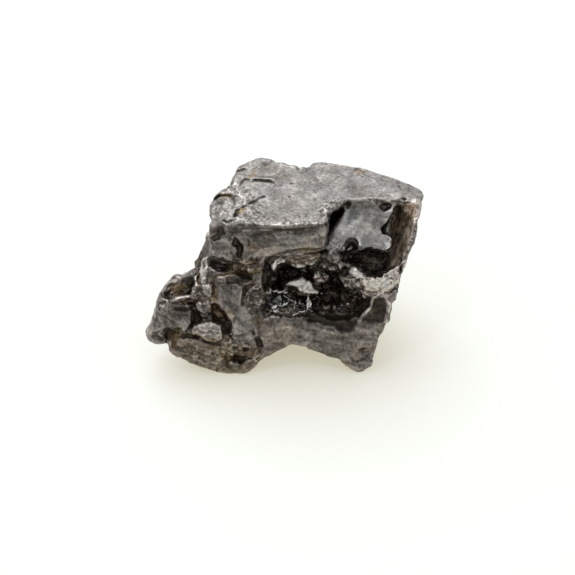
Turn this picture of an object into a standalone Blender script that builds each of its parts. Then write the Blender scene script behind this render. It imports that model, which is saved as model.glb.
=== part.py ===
"""A native platinum nugget: one natural lump of metal, flat on top, with a roofed hollow on its
right, a deep hollow in its middle, two feet and an arch in front and a broad heel behind. A crust
of dark crystals sits in the middle hollow.

Run it with: blender --background --python part.py

Lengths are millimetres while the piece is modelled, and the finished meshes are scaled to metres.
The show side is laid out as seen from the front, VIEW_RISE above the table: across runs right
from the left tip, up runs up the picture plane from the lowest foot, and out runs towards the
viewer. Corners that this side hides are given as x (across), y (back) and z (height).
"""

import math

import bmesh
import bpy
import numpy as np
from mathutils import Euler, Matrix, Vector, noise

MM = 0.001

# Driving dimensions, in millimetres.
LENGTH = 10.5  # left tip to right nose
TOP = 5.85  # height of the broad top face above the table
CRUST_GAP = 0.05  # between the crystals and the metal they sit in
VOXEL = 0.09  # grain of the fused body before it is thinned out
WAVES = ((1.3, 0.050), (0.45, 0.028))  # length and height of the surface's swells
WARP_LENGTH, WARP_REACH = 0.75, 0.09  # how edges wander along the surface
PLATE_SIZE, PLATE_STEP = 0.85, 0.15  # the flat plates of broken places and the ledges between
PLATE_SHUFFLE = 7.3  # sets neighbouring plates far apart in the noise that gives their height
WARP_CHANNELS = 20.0  # how far apart in the noise the three directions of the drift are read
WARP_FLATNESS = 0.8  # share of the drift across the surface that is taken out again
WORN, HALF_WORN = 0.25, 0.4  # how strongly the worn places keep plates and swells
TOP_EDGE = 5.3  # what lies above this height is the worn top
FRONT_DEPTH = 0.2  # what lies further out than this is the front
BRIDGE_LEFT, BRIDGE_CREST = 4.4, 2.2  # the worn bridge: its left end and its upper edge
BROW_RIGHT, BROW_FOOT = 6.9, 4.1  # the worn brow under the top: its right end and its lower edge
PIT_MOUTH = 2.0  # how far a pit's cutter stands out of its rim
NUGGET_FACES = 8000
CRYSTAL_SIZE = 0.36  # from tip to tip of a middling crystal
CRYSTAL_TURNS = (1.0, 1.7, 2.9)  # how much further each crystal is turned than the one before
VIEW_RISE = math.radians(40)

SIN, COS = math.sin(VIEW_RISE), math.cos(VIEW_RISE)


def shown(across, up, out):
    """A corner on the show side: across and up in the picture plane, out towards the viewer."""
    return Vector((across, up * SIN - out * COS, up * COS + out * SIN))


def level(across, up, height):
    """The corner that is seen at (across, up) and lies at this height above the table."""
    return Vector((across, (up - height * COS) / SIN, height))


def hidden(x, y, z):
    """A corner that the show side hides: x across, y back and z above the table."""
    return Vector((x, y, z))


def sunk(rim, floor, taper, outline):
    """The corners of a pit: straight sides down to the rim's depth, then narrowing to its floor."""
    middle = Vector((sum(across for across, up in outline), sum(up for across, up in outline)))
    middle /= len(outline)
    corners = []
    for across, up in outline:
        narrow = middle.lerp(Vector((across, up)), taper)
        corners += [shown(across, up, rim + PIT_MOUTH), shown(across, up, rim)]
        corners.append(shown(*narrow, floor))
    return corners


# Blocks that grew together, each the hull round its corners.
BODY = {
    "roof": [
        level(2.75, 5.70, 5.55), level(3.45, 5.62, 5.78), level(5.30, 5.46, TOP),
        level(6.65, 5.60, TOP), level(6.95, 5.90, TOP), level(5.60, 7.68, 5.75),
        level(4.60, 8.05, 5.70), level(4.10, 8.08, 5.65), level(3.50, 7.80, 5.50),
        level(3.20, 7.15, 5.50), shown(2.55, 4.30, 1.75), shown(3.50, 4.12, 1.80),
        shown(6.75, 4.55, 2.05), hidden(3.20, 5.10, 4.30), hidden(6.50, 5.00, 4.30),
    ],
    "roof_step": [
        level(2.47, 6.00, 5.00), level(2.55, 6.62, 5.10), level(3.00, 7.00, 5.30),
        level(3.60, 6.60, 5.50), level(3.30, 5.72, 5.50), shown(2.48, 5.40, 1.90),
        shown(2.45, 4.35, 1.65), shown(3.30, 4.25, 1.80), hidden(2.75, 3.90, 4.20),
        hidden(2.95, 4.50, 5.00),
    ],
    "roof_wing": [
        level(6.28, 7.97, 5.72), level(6.60, 7.94, 5.72), level(8.06, 7.72, 5.68),
        level(9.30, 7.33, 5.64), level(9.90, 7.10, 5.60), level(10.38, 6.90, 5.55),
        level(10.53, 6.60, 5.50), level(10.35, 6.42, 5.62), level(9.60, 6.50, 5.78),
        level(7.60, 6.46, TOP), level(6.80, 5.90, TOP), level(5.20, 7.00, TOP),
        hidden(6.40, 4.95, 4.40), hidden(9.00, 4.70, 4.30), hidden(9.90, 3.90, 4.90),
        hidden(7.00, 2.90, 5.20), hidden(9.70, 3.00, 5.20),
    ],
    "rear": [
        hidden(2.95, 3.00, 4.80), hidden(9.40, 3.00, 4.70), hidden(3.20, 5.00, 5.00),
        hidden(9.30, 2.90, 3.40), hidden(8.90, 4.70, 4.80), hidden(2.90, 5.35, 3.10),
        hidden(8.60, 5.20, 2.80), hidden(3.60, 4.80, -0.05), hidden(7.40, 4.60, -0.05),
        hidden(4.00, 3.30, -0.05), hidden(7.10, 3.20, -0.05), hidden(3.10, 2.60, 1.60),
        hidden(8.40, 2.60, 1.60), hidden(3.00, 3.00, 3.60),
    ],
    "heart": [
        shown(4.40, 4.30, 1.20), shown(6.80, 4.50, 1.40), shown(8.90, 4.10, 0.90),
        shown(9.10, 2.90, 0.70), shown(8.20, 1.90, 0.60), shown(4.40, 1.90, 0.60),
        hidden(3.60, 3.30, 4.60), hidden(9.00, 3.30, 4.60), hidden(3.60, 3.30, 1.60),
        hidden(8.20, 3.30, 1.60),
    ],
    "waist": [
        shown(2.50, 4.30, 1.45), shown(4.50, 4.30, 1.85), shown(4.42, 3.20, 1.45),
        shown(4.42, 2.10, 1.10), shown(2.70, 1.80, 1.15), shown(2.20, 2.90, 1.30),
        shown(2.40, 3.50, 1.35), hidden(2.90, 3.30, 4.40), hidden(2.60, 3.30, 1.60),
        hidden(4.40, 3.30, 1.40),
    ],
    "flank": [
        shown(2.08, 4.62, 0.35), shown(2.38, 5.30, 0.75), shown(2.60, 4.80, 1.50),
        shown(2.30, 3.80, 1.30), shown(1.80, 3.80, 0.55), shown(1.90, 3.00, 1.00),
        hidden(2.70, 3.60, 4.30), hidden(2.40, 3.60, 2.60), hidden(3.00, 2.60, 2.00),
    ],
    "lobe": [
        shown(0.80, 2.60, 0.90), shown(0.82, 1.55, 0.60), shown(1.10, 1.25, 0.55),
        shown(1.20, 3.40, 0.70), shown(2.40, 3.40, 1.15), shown(2.90, 2.60, 1.15),
        shown(2.90, 1.10, 0.70), shown(1.80, 1.30, 0.65), hidden(1.60, 2.80, 2.50),
        hidden(2.60, 3.20, 1.30), hidden(1.50, 2.20, 1.20),
    ],
    "finger_root": [
        shown(0.60, 1.20, 0.50), shown(0.98, 0.98, 0.40), shown(1.20, 1.30, 0.60),
        shown(0.90, 1.75, 0.66), shown(0.60, 1.70, 0.60), hidden(0.80, 1.50, 1.20),
        hidden(1.30, 1.70, 0.90), hidden(1.30, 2.10, 1.60),
    ],
    "finger": [
        shown(0.00, 1.62, 0.50), shown(0.10, 1.30, 0.40), shown(0.40, 1.10, 0.35),
        shown(0.72, 1.15, 0.50), shown(0.80, 1.60, 0.85), shown(0.30, 2.35, 0.80),
        shown(0.75, 2.45, 1.15), shown(0.52, 2.80, 0.85), shown(0.80, 3.30, 0.80),
        shown(0.45, 1.60, 0.95), hidden(0.40, 1.50, 1.35), hidden(1.20, 2.30, 2.70),
        hidden(1.00, 1.90, 1.10),
    ],
    "crest": [
        shown(0.55, 2.95, 0.75), shown(1.00, 3.70, 0.60), shown(1.20, 3.75, 0.55),
        shown(1.55, 3.65, 0.70), shown(2.00, 3.85, 0.80), shown(2.30, 3.30, 1.35),
        shown(1.90, 2.70, 1.30), shown(0.90, 2.62, 1.20), hidden(1.30, 2.60, 2.60),
        hidden(2.50, 3.00, 2.40), hidden(1.40, 2.30, 1.50),
    ],
    "cheek": [
        shown(0.92, 2.66, 1.48), shown(1.85, 2.60, 1.50), shown(1.88, 1.90, 1.20),
        shown(1.72, 1.72, 1.10), shown(0.85, 1.66, 1.02), hidden(1.10, 2.20, 1.20),
        hidden(2.20, 2.50, 2.40), hidden(2.20, 2.40, 1.20),
    ],
    "chin": [
        shown(1.94, 1.82, 1.15), shown(2.87, 1.82, 1.20), shown(2.87, 1.22, 1.00),
        shown(1.96, 1.36, 0.95), shown(3.90, 1.70, 1.05), shown(4.40, 1.20, 0.75),
        shown(3.00, 0.90, 0.80), hidden(2.00, 2.20, 1.20), hidden(4.00, 2.40, 1.20),
    ],
    "tongue": [
        shown(2.75, 3.10, 1.55), shown(3.70, 3.20, 1.68), shown(3.85, 2.20, 1.38),
        shown(4.25, 1.30, 0.98), shown(3.30, 1.10, 0.98), shown(3.00, 2.30, 1.38),
        shown(2.80, 2.80, 1.48), hidden(3.00, 2.20, 3.00), hidden(4.00, 2.00, 1.60),
    ],
    "patch": [
        shown(1.92, 3.20, 1.30), shown(2.40, 3.50, 1.40), shown(2.76, 3.40, 1.45),
        shown(2.78, 2.60, 1.42), shown(2.40, 2.20, 1.30), shown(1.92, 2.30, 1.30),
        hidden(2.20, 2.60, 2.60), hidden(2.80, 2.60, 1.60),
    ],
    "fin": [
        shown(2.32, 4.60, 1.10), shown(2.46, 4.56, 1.20), shown(2.24, 3.30, 1.52),
        shown(2.06, 3.30, 1.40), shown(1.98, 3.60, 1.20), hidden(2.50, 2.80, 3.80),
        hidden(2.30, 2.80, 3.00),
    ],
    "eyelid": [
        shown(2.62, 3.40, 1.62), shown(2.80, 3.62, 1.70), shown(3.60, 3.66, 1.80),
        shown(4.00, 3.50, 1.78), shown(4.05, 3.34, 1.66), shown(3.50, 3.20, 1.72),
        shown(2.80, 3.20, 1.62), shown(3.00, 3.50, 0.80), shown(4.00, 3.40, 0.80),
    ],
    "sole": [
        shown(0.98, 1.34, 0.78), shown(1.70, 1.38, 0.92), shown(2.90, 1.00, 0.92),
        shown(1.03, 0.84, 0.40), shown(1.62, 0.44, 0.22), shown(2.20, 0.22, 0.12),
        shown(2.80, 0.03, 0.02), shown(3.31, -0.03, -0.02), shown(3.75, 0.03, 0.03),
        shown(4.12, 0.26, 0.18), shown(4.32, 0.60, 0.40), shown(4.10, 1.00, 0.70),
        hidden(1.60, 1.80, 0.55), hidden(3.40, 1.70, 0.06), hidden(2.00, 2.50, 1.20),
        hidden(4.30, 1.70, 0.60), hidden(3.80, 2.60, 1.20),
    ],
    "bridge_left": [
        shown(4.10, 2.06, 1.05), shown(5.80, 2.02, 0.95), shown(5.80, 1.08, 0.45),
        shown(5.25, 1.05, 0.42), shown(4.80, 0.84, 0.40), shown(4.15, 0.40, 0.30),
        hidden(4.30, 2.90, 1.90), hidden(5.80, 2.90, 1.90), hidden(4.40, 1.70, 0.80),
        hidden(5.80, 1.70, 1.30),
    ],
    "bridge_right": [
        shown(5.60, 2.02, 0.95), shown(7.60, 1.52, 0.95), shown(8.20, 2.10, 1.10),
        shown(5.60, 1.08, 0.45), shown(6.00, 0.98, 0.38), shown(6.60, 0.66, 0.30),
        shown(7.40, 0.42, 0.22), shown(8.20, 0.60, 0.40), hidden(5.60, 2.90, 1.90),
        hidden(8.30, 2.90, 1.90), hidden(5.80, 1.70, 1.30), hidden(8.00, 1.60, 1.00),
    ],
    "leg": [
        shown(7.70, 1.60, 0.95), shown(8.50, 2.84, 1.38), shown(8.95, 2.84, 1.35),
        shown(9.20, 2.36, 1.00), shown(9.00, 1.80, 0.78), shown(8.74, 1.40, 0.60),
        shown(8.60, 0.80, 0.38), shown(8.52, 0.34, 0.20), shown(8.30, 0.00, -0.08),
        shown(8.02, -0.06, -0.12), shown(7.75, 0.12, 0.04), shown(7.36, 0.38, 0.25),
        shown(8.00, 0.90, 0.62), hidden(7.80, 1.00, 0.45), hidden(8.50, 1.20, 0.80),
        hidden(9.00, 2.20, 2.20), hidden(8.00, 2.40, 1.60),
    ],
    "shoulder": [
        shown(7.58, 4.00, 1.50), shown(7.66, 3.70, 1.42), shown(8.02, 3.94, 1.48),
        shown(8.20, 3.62, 1.62), shown(8.75, 3.57, 1.66), shown(9.10, 3.74, 1.58),
        shown(9.56, 3.90, 1.35), shown(9.58, 3.55, 1.25), shown(9.50, 3.05, 1.00),
        shown(9.28, 2.70, 0.95), shown(8.95, 3.00, 1.20), shown(8.25, 3.06, 1.20),
        hidden(7.70, 2.60, 3.60), hidden(9.30, 2.80, 3.60), hidden(9.10, 2.60, 2.40),
        hidden(8.20, 2.60, 2.00),
    ],
    "right_side": [
        level(10.42, 6.36, 5.55), level(10.00, 6.40, 5.70), shown(10.28, 5.80, 1.75),
        shown(9.98, 4.60, 1.60), shown(9.66, 3.92, 1.38), shown(9.40, 3.80, 1.35),
        shown(9.75, 5.20, 1.75), hidden(10.00, 3.90, 5.00), hidden(9.60, 3.80, 3.60),
        hidden(9.00, 3.20, 3.40), hidden(9.10, 3.60, 4.90),
    ],
    "side_lumps": [
        shown(10.18, 5.60, 1.10), shown(10.12, 5.20, 0.90), shown(9.95, 4.55, 0.80),
        shown(9.80, 4.30, 0.40), shown(9.62, 3.40, 0.40), shown(9.50, 3.05, 0.30),
        hidden(9.60, 4.00, 3.20), hidden(9.00, 3.20, 2.60), hidden(9.00, 3.60, 4.60),
    ],
}

# Hollows taken out of the joined blocks.
HOLLOWS = {
    "right_hollow": [
        shown(6.86, 5.85, 3.60), shown(7.62, 6.40, 3.30), shown(9.20, 6.46, 3.30),
        shown(10.62, 6.34, 2.80), shown(10.44, 5.60, 2.60), shown(10.16, 4.70, 2.30),
        shown(9.80, 4.02, 2.00), shown(9.30, 3.96, 2.60), shown(7.20, 4.10, 3.30),
        shown(6.82, 4.60, 3.60), shown(7.40, 6.36, 1.25), shown(9.40, 6.36, 0.60),
        shown(9.30, 5.00, 0.20), shown(9.10, 4.20, 0.10), shown(7.10, 4.30, 0.60),
    ],
    "middle_hollow": [
        shown(4.36, 2.60, 3.00), shown(4.34, 3.20, 3.00), shown(4.44, 3.72, 3.00),
        shown(4.68, 4.16, 3.00), shown(5.05, 4.45, 3.00), shown(5.60, 4.50, 3.00),
        shown(4.46, 2.20, 3.00), shown(4.76, 2.00, 3.00),
        shown(6.40, 4.55, 3.00), shown(7.00, 4.35, 3.00), shown(7.60, 3.70, 3.00),
        shown(7.60, 2.00, 3.00), shown(6.90, 1.80, 3.00), shown(6.00, 1.93, 3.00),
        shown(4.80, 3.60, -0.20), shown(5.10, 4.00, -0.10), shown(6.60, 4.20, -0.30),
        shown(7.40, 3.40, -0.50), shown(7.20, 2.50, -0.60), shown(4.60, 2.50, -0.60),
    ],
    "hollow_corner": [
        shown(6.40, 1.90, 3.00), shown(7.10, 1.64, 3.00), shown(7.62, 1.56, 3.00),
        shown(7.82, 1.80, 3.00), shown(8.06, 2.00, 3.00), shown(8.30, 2.36, 3.00),
        shown(8.52, 2.64, 3.00), shown(8.50, 2.86, 3.00), shown(8.10, 3.10, 3.00),
        shown(7.50, 3.40, 3.00), shown(6.50, 3.00, 3.00), shown(6.80, 2.20, -0.20),
        shown(7.80, 2.20, 0.10), shown(8.20, 2.70, 0.20), shown(7.60, 3.10, -0.20),
    ],
    "hollow_neck": [
        shown(6.70, 4.30, 3.00), shown(7.30, 4.46, 3.00), shown(8.00, 4.50, 3.00),
        shown(8.02, 3.98, 3.00), shown(7.56, 3.98, 3.00), shown(7.30, 3.50, 3.00),
        shown(6.80, 3.60, 3.00), shown(6.90, 4.20, 0.40), shown(7.90, 4.40, 0.40),
        shown(7.90, 4.06, 0.40), shown(7.20, 3.70, 0.20), shown(6.90, 3.80, 0.20),
    ],
    "hollow_mouth": [
        shown(4.20, 2.80, 1.75), shown(4.36, 3.50, 2.10), shown(4.62, 4.10, 2.30),
        shown(5.10, 4.44, 2.40), shown(4.30, 2.20, 1.30), shown(5.40, 2.06, 1.20),
        shown(5.80, 3.20, 1.00), shown(4.60, 2.60, 0.70), shown(4.76, 3.60, 0.90),
    ],
}

# What stands in the hollows.
INNER = {
    "hollow_wall": [
        shown(4.10, 3.05, 1.30), shown(4.12, 3.70, 1.50), shown(4.36, 4.30, 1.66),
        shown(4.80, 4.62, 1.74), shown(5.30, 4.60, 1.70), shown(4.60, 3.10, 0.66),
        shown(4.74, 3.62, 0.84), shown(5.06, 4.06, 0.96), shown(4.58, 3.20, -0.60),
        shown(5.20, 4.20, -0.60), shown(4.20, 3.80, -0.60),
    ],
    "shelf": [
        shown(6.88, 4.80, 1.72), shown(6.98, 5.30, 1.55), shown(7.26, 5.64, 1.45),
        shown(7.50, 6.12, 1.25), shown(7.72, 6.34, 1.15), shown(8.60, 6.46, 1.10),
        shown(8.95, 6.12, 1.18), shown(8.98, 5.60, 1.40), shown(8.86, 5.20, 1.62),
        shown(8.70, 4.66, 1.90), shown(8.00, 4.70, 1.98), shown(7.50, 4.70, 1.92),
        shown(7.30, 5.40, 0.40), shown(8.80, 5.90, 0.30), shown(8.60, 5.00, 0.40),
        shown(7.20, 4.90, 0.50),
    ],
    "shelf_foot": [
        shown(6.80, 4.32, 1.88), shown(7.28, 4.28, 1.84), shown(7.44, 4.60, 1.92),
        shown(7.50, 5.10, 1.72), shown(6.96, 5.30, 1.55), shown(6.82, 4.90, 1.70),
        shown(7.00, 4.50, 0.50), shown(7.30, 4.50, 0.60),
    ],
    "shelf_corner": [
        shown(8.66, 5.06, 1.70), shown(9.14, 5.20, 1.55), shown(9.24, 4.92, 1.62),
        shown(9.20, 4.60, 1.72), shown(8.98, 4.50, 1.84), shown(8.78, 4.44, 1.90),
        shown(8.56, 4.66, 1.92), shown(8.80, 4.90, 0.40), shown(9.10, 4.80, 0.40),
    ],
    "shelf_spur": [
        shown(8.86, 5.50, 1.45), shown(8.96, 6.00, 1.22), shown(9.34, 6.34, 1.14),
        shown(9.44, 6.20, 1.16), shown(9.22, 5.84, 1.26), shown(9.06, 5.50, 1.40),
        shown(9.00, 5.90, 0.40), shown(9.20, 6.10, 0.40),
    ],
    "hollow_roof": [
        shown(4.98, 4.36, 1.60), shown(5.60, 4.52, 1.78), shown(6.60, 4.56, 1.76),
        shown(6.60, 4.20, 1.20), shown(6.00, 4.00, 1.00), shown(5.60, 4.04, 1.00),
        shown(5.10, 4.16, 1.10), shown(5.00, 4.30, -0.60), shown(6.60, 4.30, -0.60),
    ],
    "apron": [
        shown(6.30, 4.50, 1.30), shown(7.60, 4.50, 1.10), shown(7.90, 4.10, 0.80),
        shown(7.10, 3.60, 0.40), shown(6.20, 3.80, 0.40), shown(7.20, 4.00, -0.60),
        shown(6.20, 4.20, -0.60),
    ],
    "hollow_ledge": [
        shown(5.24, 3.42, 0.10), shown(5.80, 3.54, 0.15), shown(6.04, 3.64, 0.10),
        shown(6.70, 3.08, 0.40), shown(6.20, 2.94, 0.60), shown(5.66, 3.00, 0.55),
        shown(5.28, 3.16, 0.40), shown(5.30, 3.30, -1.00), shown(6.60, 3.20, -1.00),
        shown(6.30, 2.80, -1.00), shown(5.40, 2.90, -1.00),
    ],
    "top_lump": [
        shown(4.74, 4.10, 1.10), shown(4.86, 4.26, 1.20), shown(5.04, 4.16, 1.15),
        shown(4.98, 3.96, 0.95), shown(4.78, 3.84, 0.90), shown(4.70, 4.20, -0.60),
        shown(5.10, 4.20, -0.60), shown(4.80, 3.90, -0.60),
    ],
    "hollow_curl": [
        shown(6.26, 3.62, 0.70), shown(6.50, 3.80, 0.85), shown(6.90, 3.66, 0.80),
        shown(6.84, 3.40, 0.65), shown(6.40, 3.36, 0.55), shown(6.30, 3.60, -0.80),
        shown(6.80, 3.50, -0.80),
    ],
    "under_ridge": [
        shown(7.14, 3.62, 0.95), shown(7.60, 3.74, 1.30), shown(8.20, 3.42, 1.42),
        shown(8.24, 3.06, 1.15), shown(7.72, 3.10, 0.85), shown(7.30, 3.40, 0.65),
        shown(7.40, 3.50, -0.80), shown(8.10, 3.10, -0.80),
    ],
    "ramp": [
        shown(6.20, 2.00, 0.90), shown(7.70, 1.60, 0.90), shown(7.96, 2.10, 0.50),
        shown(7.20, 2.45, 0.10), shown(6.30, 2.35, 0.20), shown(6.40, 1.80, 0.00),
        shown(7.60, 1.80, 0.00), shown(6.80, 2.30, -0.60),
    ],
}

# Pits, gaps and undercuts of the finished front, and the broken places of the back.
PITS = {
    "dark_pit": sunk(1.9, 0.1, 0.8, [
        (7.90, 4.48), (8.20, 4.68), (8.60, 4.64), (9.10, 4.52), (9.20, 4.20), (9.10, 3.78),
        (8.76, 3.60), (8.46, 3.60), (8.00, 3.96)]),
    "shelf_notch": sunk(1.9, 1.1, 0.8, [
        (7.50, 4.84), (7.62, 5.02), (7.80, 5.08), (7.96, 4.98), (7.98, 4.62), (7.60, 4.56)]),
    "spur_gap": sunk(1.5, 0.9, 0.7, [(8.68, 6.44), (8.94, 6.46), (9.00, 6.08), (8.92, 6.04)]),
    "corner_crevice": sunk(1.8, 0.5, 0.7, [
        (6.88, 5.30), (6.86, 5.92), (7.06, 6.08), (7.50, 6.22), (7.36, 5.86), (7.02, 5.44)]),
    "lip_crevice": sunk(1.5, 0.8, 0.7, [(7.46, 6.14), (7.60, 6.44), (7.76, 6.34), (7.58, 6.10)]),
    "brow_gap": sunk(1.6, 1.1, 0.8, [
        (2.38, 4.28), (2.66, 4.14), (3.00, 4.06), (3.40, 4.00), (3.30, 3.86), (2.90, 3.78),
        (2.60, 3.88), (2.40, 4.06)]),
    "side_gap": sunk(1.7, 1.6, 0.7, [
        (3.00, 4.06), (3.60, 4.20), (4.34, 4.30), (4.40, 3.90), (4.00, 3.72), (3.40, 3.84)]),
    "brow_pit": sunk(2.3, 1.9, 0.6, [
        (2.48, 5.14), (2.62, 5.46), (2.92, 5.48), (2.98, 5.26), (2.74, 4.98)]),
    "brow_slot": sunk(2.1, 1.75, 0.6, [
        (3.34, 4.98), (3.50, 5.02), (3.66, 4.74), (3.66, 4.44), (3.54, 4.42), (3.50, 4.74)]),
    "lobe_hollow": sunk(1.0, 0.65, 0.6, [
        (0.92, 2.94), (1.02, 3.30), (1.34, 3.54), (1.80, 3.50), (1.84, 3.16), (1.56, 2.90),
        (1.20, 2.86)]),
    "finger_gap": sunk(0.8, 0.4, 0.6, [
        (0.80, 1.20), (1.00, 1.16), (0.98, 1.46), (0.90, 1.70), (0.80, 1.64)]),
    "cheek_gap": sunk(1.2, 0.8, 0.7, [
        (1.74, 1.72), (2.06, 1.80), (2.10, 1.98), (1.96, 2.34), (1.92, 2.56), (1.76, 2.30)]),
    "waist_gap": sunk(1.2, 0.8, 0.7, [
        (2.44, 2.20), (2.48, 2.56), (2.80, 2.60), (2.92, 2.32), (3.24, 2.00), (3.24, 1.76),
        (2.96, 1.78), (2.54, 1.96)]),
    "fin_slot": sunk(1.2, 0.8, 0.6, [(1.92, 3.60), (2.08, 3.72), (2.14, 3.50), (2.02, 3.22)]),
    "tongue_gap": sunk(1.0, 0.7, 0.7, [
        (2.92, 1.84), (3.22, 1.78), (3.22, 1.46), (3.00, 1.34)]),
    "sole_gap": sunk(0.8, 0.65, 0.7, [
        (1.10, 1.46), (1.80, 1.50), (2.98, 1.16), (2.98, 1.04), (1.74, 1.36), (1.12, 1.36)]),
    "sole_pit": sunk(0.4, 0.15, 0.6, [
        (3.04, 0.62), (3.50, 0.74), (3.96, 0.56), (3.64, 0.34), (3.20, 0.38)]),
    "bridge_pit": sunk(0.8, 0.3, 0.6, [(4.08, 1.40), (4.34, 1.34), (4.34, 1.02), (4.10, 1.06)]),
    "leg_facet": sunk(1.15, 0.92, 0.8, [
        (8.60, 2.74), (8.92, 2.78), (9.04, 2.50), (9.00, 2.10), (8.84, 1.94), (8.42, 1.96)]),
    "leg_pit": sunk(0.5, 0.15, 0.5, [(8.04, 0.92), (8.34, 0.96), (8.32, 0.66), (8.10, 0.66)]),
    "back_ledge": [
        hidden(5.20, 6.00, 3.70), hidden(8.20, 6.00, 4.00), hidden(8.00, 6.00, 2.90),
        hidden(5.40, 6.00, 2.50), hidden(5.60, 4.80, 3.40), hidden(7.80, 4.60, 3.60),
        hidden(7.60, 4.90, 3.00),
    ],
    "back_pit": [
        hidden(3.60, 6.00, 2.30), hidden(4.60, 6.00, 2.60), hidden(4.80, 6.00, 1.50),
        hidden(3.80, 6.00, 1.40), hidden(4.10, 4.60, 2.20), hidden(4.30, 4.60, 1.80),
    ],
    "left_pit": [
        hidden(1.00, 3.20, 3.20), hidden(1.00, 4.00, 3.40), hidden(1.00, 3.60, 2.40),
        hidden(3.20, 3.50, 3.20), hidden(3.20, 3.80, 3.20), hidden(3.20, 3.60, 2.80),
    ],
}

# The crystals' bed in the middle hollow, which the metal round it cuts to shape.
CRYSTAL_BED = {
    "bed": [
        shown(4.20, 3.20, 0.55), shown(4.20, 1.95, 0.80), shown(5.60, 1.95, 0.60),
        shown(5.70, 2.50, 0.25), shown(5.40, 3.00, -0.10), shown(4.20, 3.20, -0.70),
        shown(4.20, 2.20, -0.40), shown(5.80, 2.20, -0.40), shown(5.60, 3.00, -0.70),
    ],
    "bed_tail": [
        shown(5.40, 2.55, 0.20), shown(5.40, 1.95, 0.50), shown(6.60, 2.05, 0.20),
        shown(6.70, 2.45, -0.20), shown(5.40, 2.55, -0.60), shown(5.40, 2.20, -0.40),
        shown(6.80, 2.25, -0.40), shown(6.70, 2.45, -0.60),
    ],
}

# The crystals that stand out of the bed: across, up, out, and size against CRYSTAL_SIZE.
CRYSTALS = [
    (4.62, 3.05, 0.40, 0.9), (4.95, 3.02, 0.30, 0.8), (5.25, 2.94, 0.12, 0.8),
    (4.55, 2.75, 0.60, 1.0), (4.86, 2.70, 0.58, 1.2), (5.22, 2.66, 0.42, 1.0),
    (5.52, 2.70, 0.12, 0.8), (4.60, 2.40, 0.76, 1.0), (4.96, 2.38, 0.76, 1.2),
    (5.32, 2.36, 0.64, 1.1), (5.62, 2.40, 0.42, 0.9), (4.76, 2.14, 0.88, 0.8),
    (5.16, 2.12, 0.80, 0.9), (5.56, 2.12, 0.66, 0.8), (5.94, 2.42, 0.20, 0.8),
    (6.22, 2.36, 0.22, 0.9), (6.50, 2.34, 0.12, 0.7), (6.02, 2.14, 0.42, 0.7),
]


def hull(name, corners):
    """A convex block round its corners."""
    shape = bmesh.new()
    for corner in corners:
        shape.verts.new(corner)
    made = bmesh.ops.convex_hull(shape, input=shape.verts)
    inside = [item for item in made["geom_interior"] if isinstance(item, bmesh.types.BMVert)]
    bmesh.ops.delete(shape, geom=inside, context="VERTS")
    bmesh.ops.recalc_face_normals(shape, faces=shape.faces)
    mesh = bpy.data.meshes.new(name)
    shape.to_mesh(mesh)
    shape.free()
    block = placed(name, mesh)
    block.hide_render = True
    block.display_type = "WIRE"
    return block


def placed(name, mesh):
    """An object for the mesh, in the scene."""
    made = bpy.data.objects.new(name, mesh)
    bpy.context.scene.collection.objects.link(made)
    return made


def evaluated(source):
    """A copy of the mesh that an object's modifiers make."""
    bpy.context.view_layer.update()
    graph = bpy.context.evaluated_depsgraph_get()
    return bpy.data.meshes.new_from_object(source.evaluated_get(graph))


def combine(core, corner_lists, operation):
    """Adds each hull to the core, or takes each one out of it."""
    for name, corners in corner_lists.items():
        step = core.modifiers.new(name, "BOOLEAN")
        step.operation = operation
        step.object = hull(name, corners)
        step.solver = "EXACT"


def in_view(place):
    """How far across, up and out a point of the model lies."""
    return place.x, place.y * SIN + place.z * COS, place.z * SIN - place.y * COS


def brokenness(place):
    """1 where the metal broke in plates, 0 on the worn top, bridge and leg."""
    across, up, out = in_view(place)
    front = out > FRONT_DEPTH
    worn_bridge = front and across > BRIDGE_LEFT and up < BRIDGE_CREST
    worn_brow = front and across < BROW_RIGHT and up > BROW_FOOT
    if place.z > TOP_EDGE:
        return WORN
    return HALF_WORN if worn_bridge or worn_brow else 1.0


def wander(place, normal):
    """A smooth drift along the surface, which bends edges and leaves flat faces flat."""
    spot = place / WARP_LENGTH
    reads = [spot + Vector((0, 0, WARP_CHANNELS * axis)) for axis in range(3)]
    drift = Vector([noise.noise(read) for read in reads])
    return (drift - normal * drift.dot(normal) * WARP_FLATNESS) * WARP_REACH


def weathered(mesh):
    """Bends the edges, sets plates at different heights and swells the faces a little."""
    moved = []
    for vertex in mesh.vertices:
        place = vertex.co
        rough = brokenness(place)
        nearest = noise.voronoi(place / PLATE_SIZE)[1][0]
        step = noise.noise(nearest * PLATE_SHUFFLE) * PLATE_STEP
        lift = sum(height * noise.noise(place / length) for length, height in WAVES)
        moved.append(place + wander(place, vertex.normal) + vertex.normal * (lift + step) * rough)
    for vertex, place in zip(mesh.vertices, moved):
        vertex.co = place


def fused_body():
    """The joined blocks without their hollows, melted into one skin."""
    core = hull("core", BODY["roof"])
    combine(core, BODY, "UNION")
    combine(core, HOLLOWS, "DIFFERENCE")
    combine(core, INNER, "UNION")
    combine(core, PITS, "DIFFERENCE")
    melt = core.modifiers.new("melt", "REMESH")
    melt.mode = "VOXEL"
    melt.voxel_size = VOXEL
    ease = core.modifiers.new("ease", "SMOOTH")
    ease.factor = 0.5
    ease.iterations = 2
    mesh = evaluated(core)
    weathered(mesh)
    return mesh


def thinned(mesh, faces):
    """The same skin with fewer faces."""
    holder = placed("thinning", mesh)
    thin = holder.modifiers.new("thin", "DECIMATE")
    thin.ratio = faces / (2 * len(mesh.polygons))
    made = evaluated(holder)
    bpy.data.objects.remove(holder)
    return made


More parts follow.
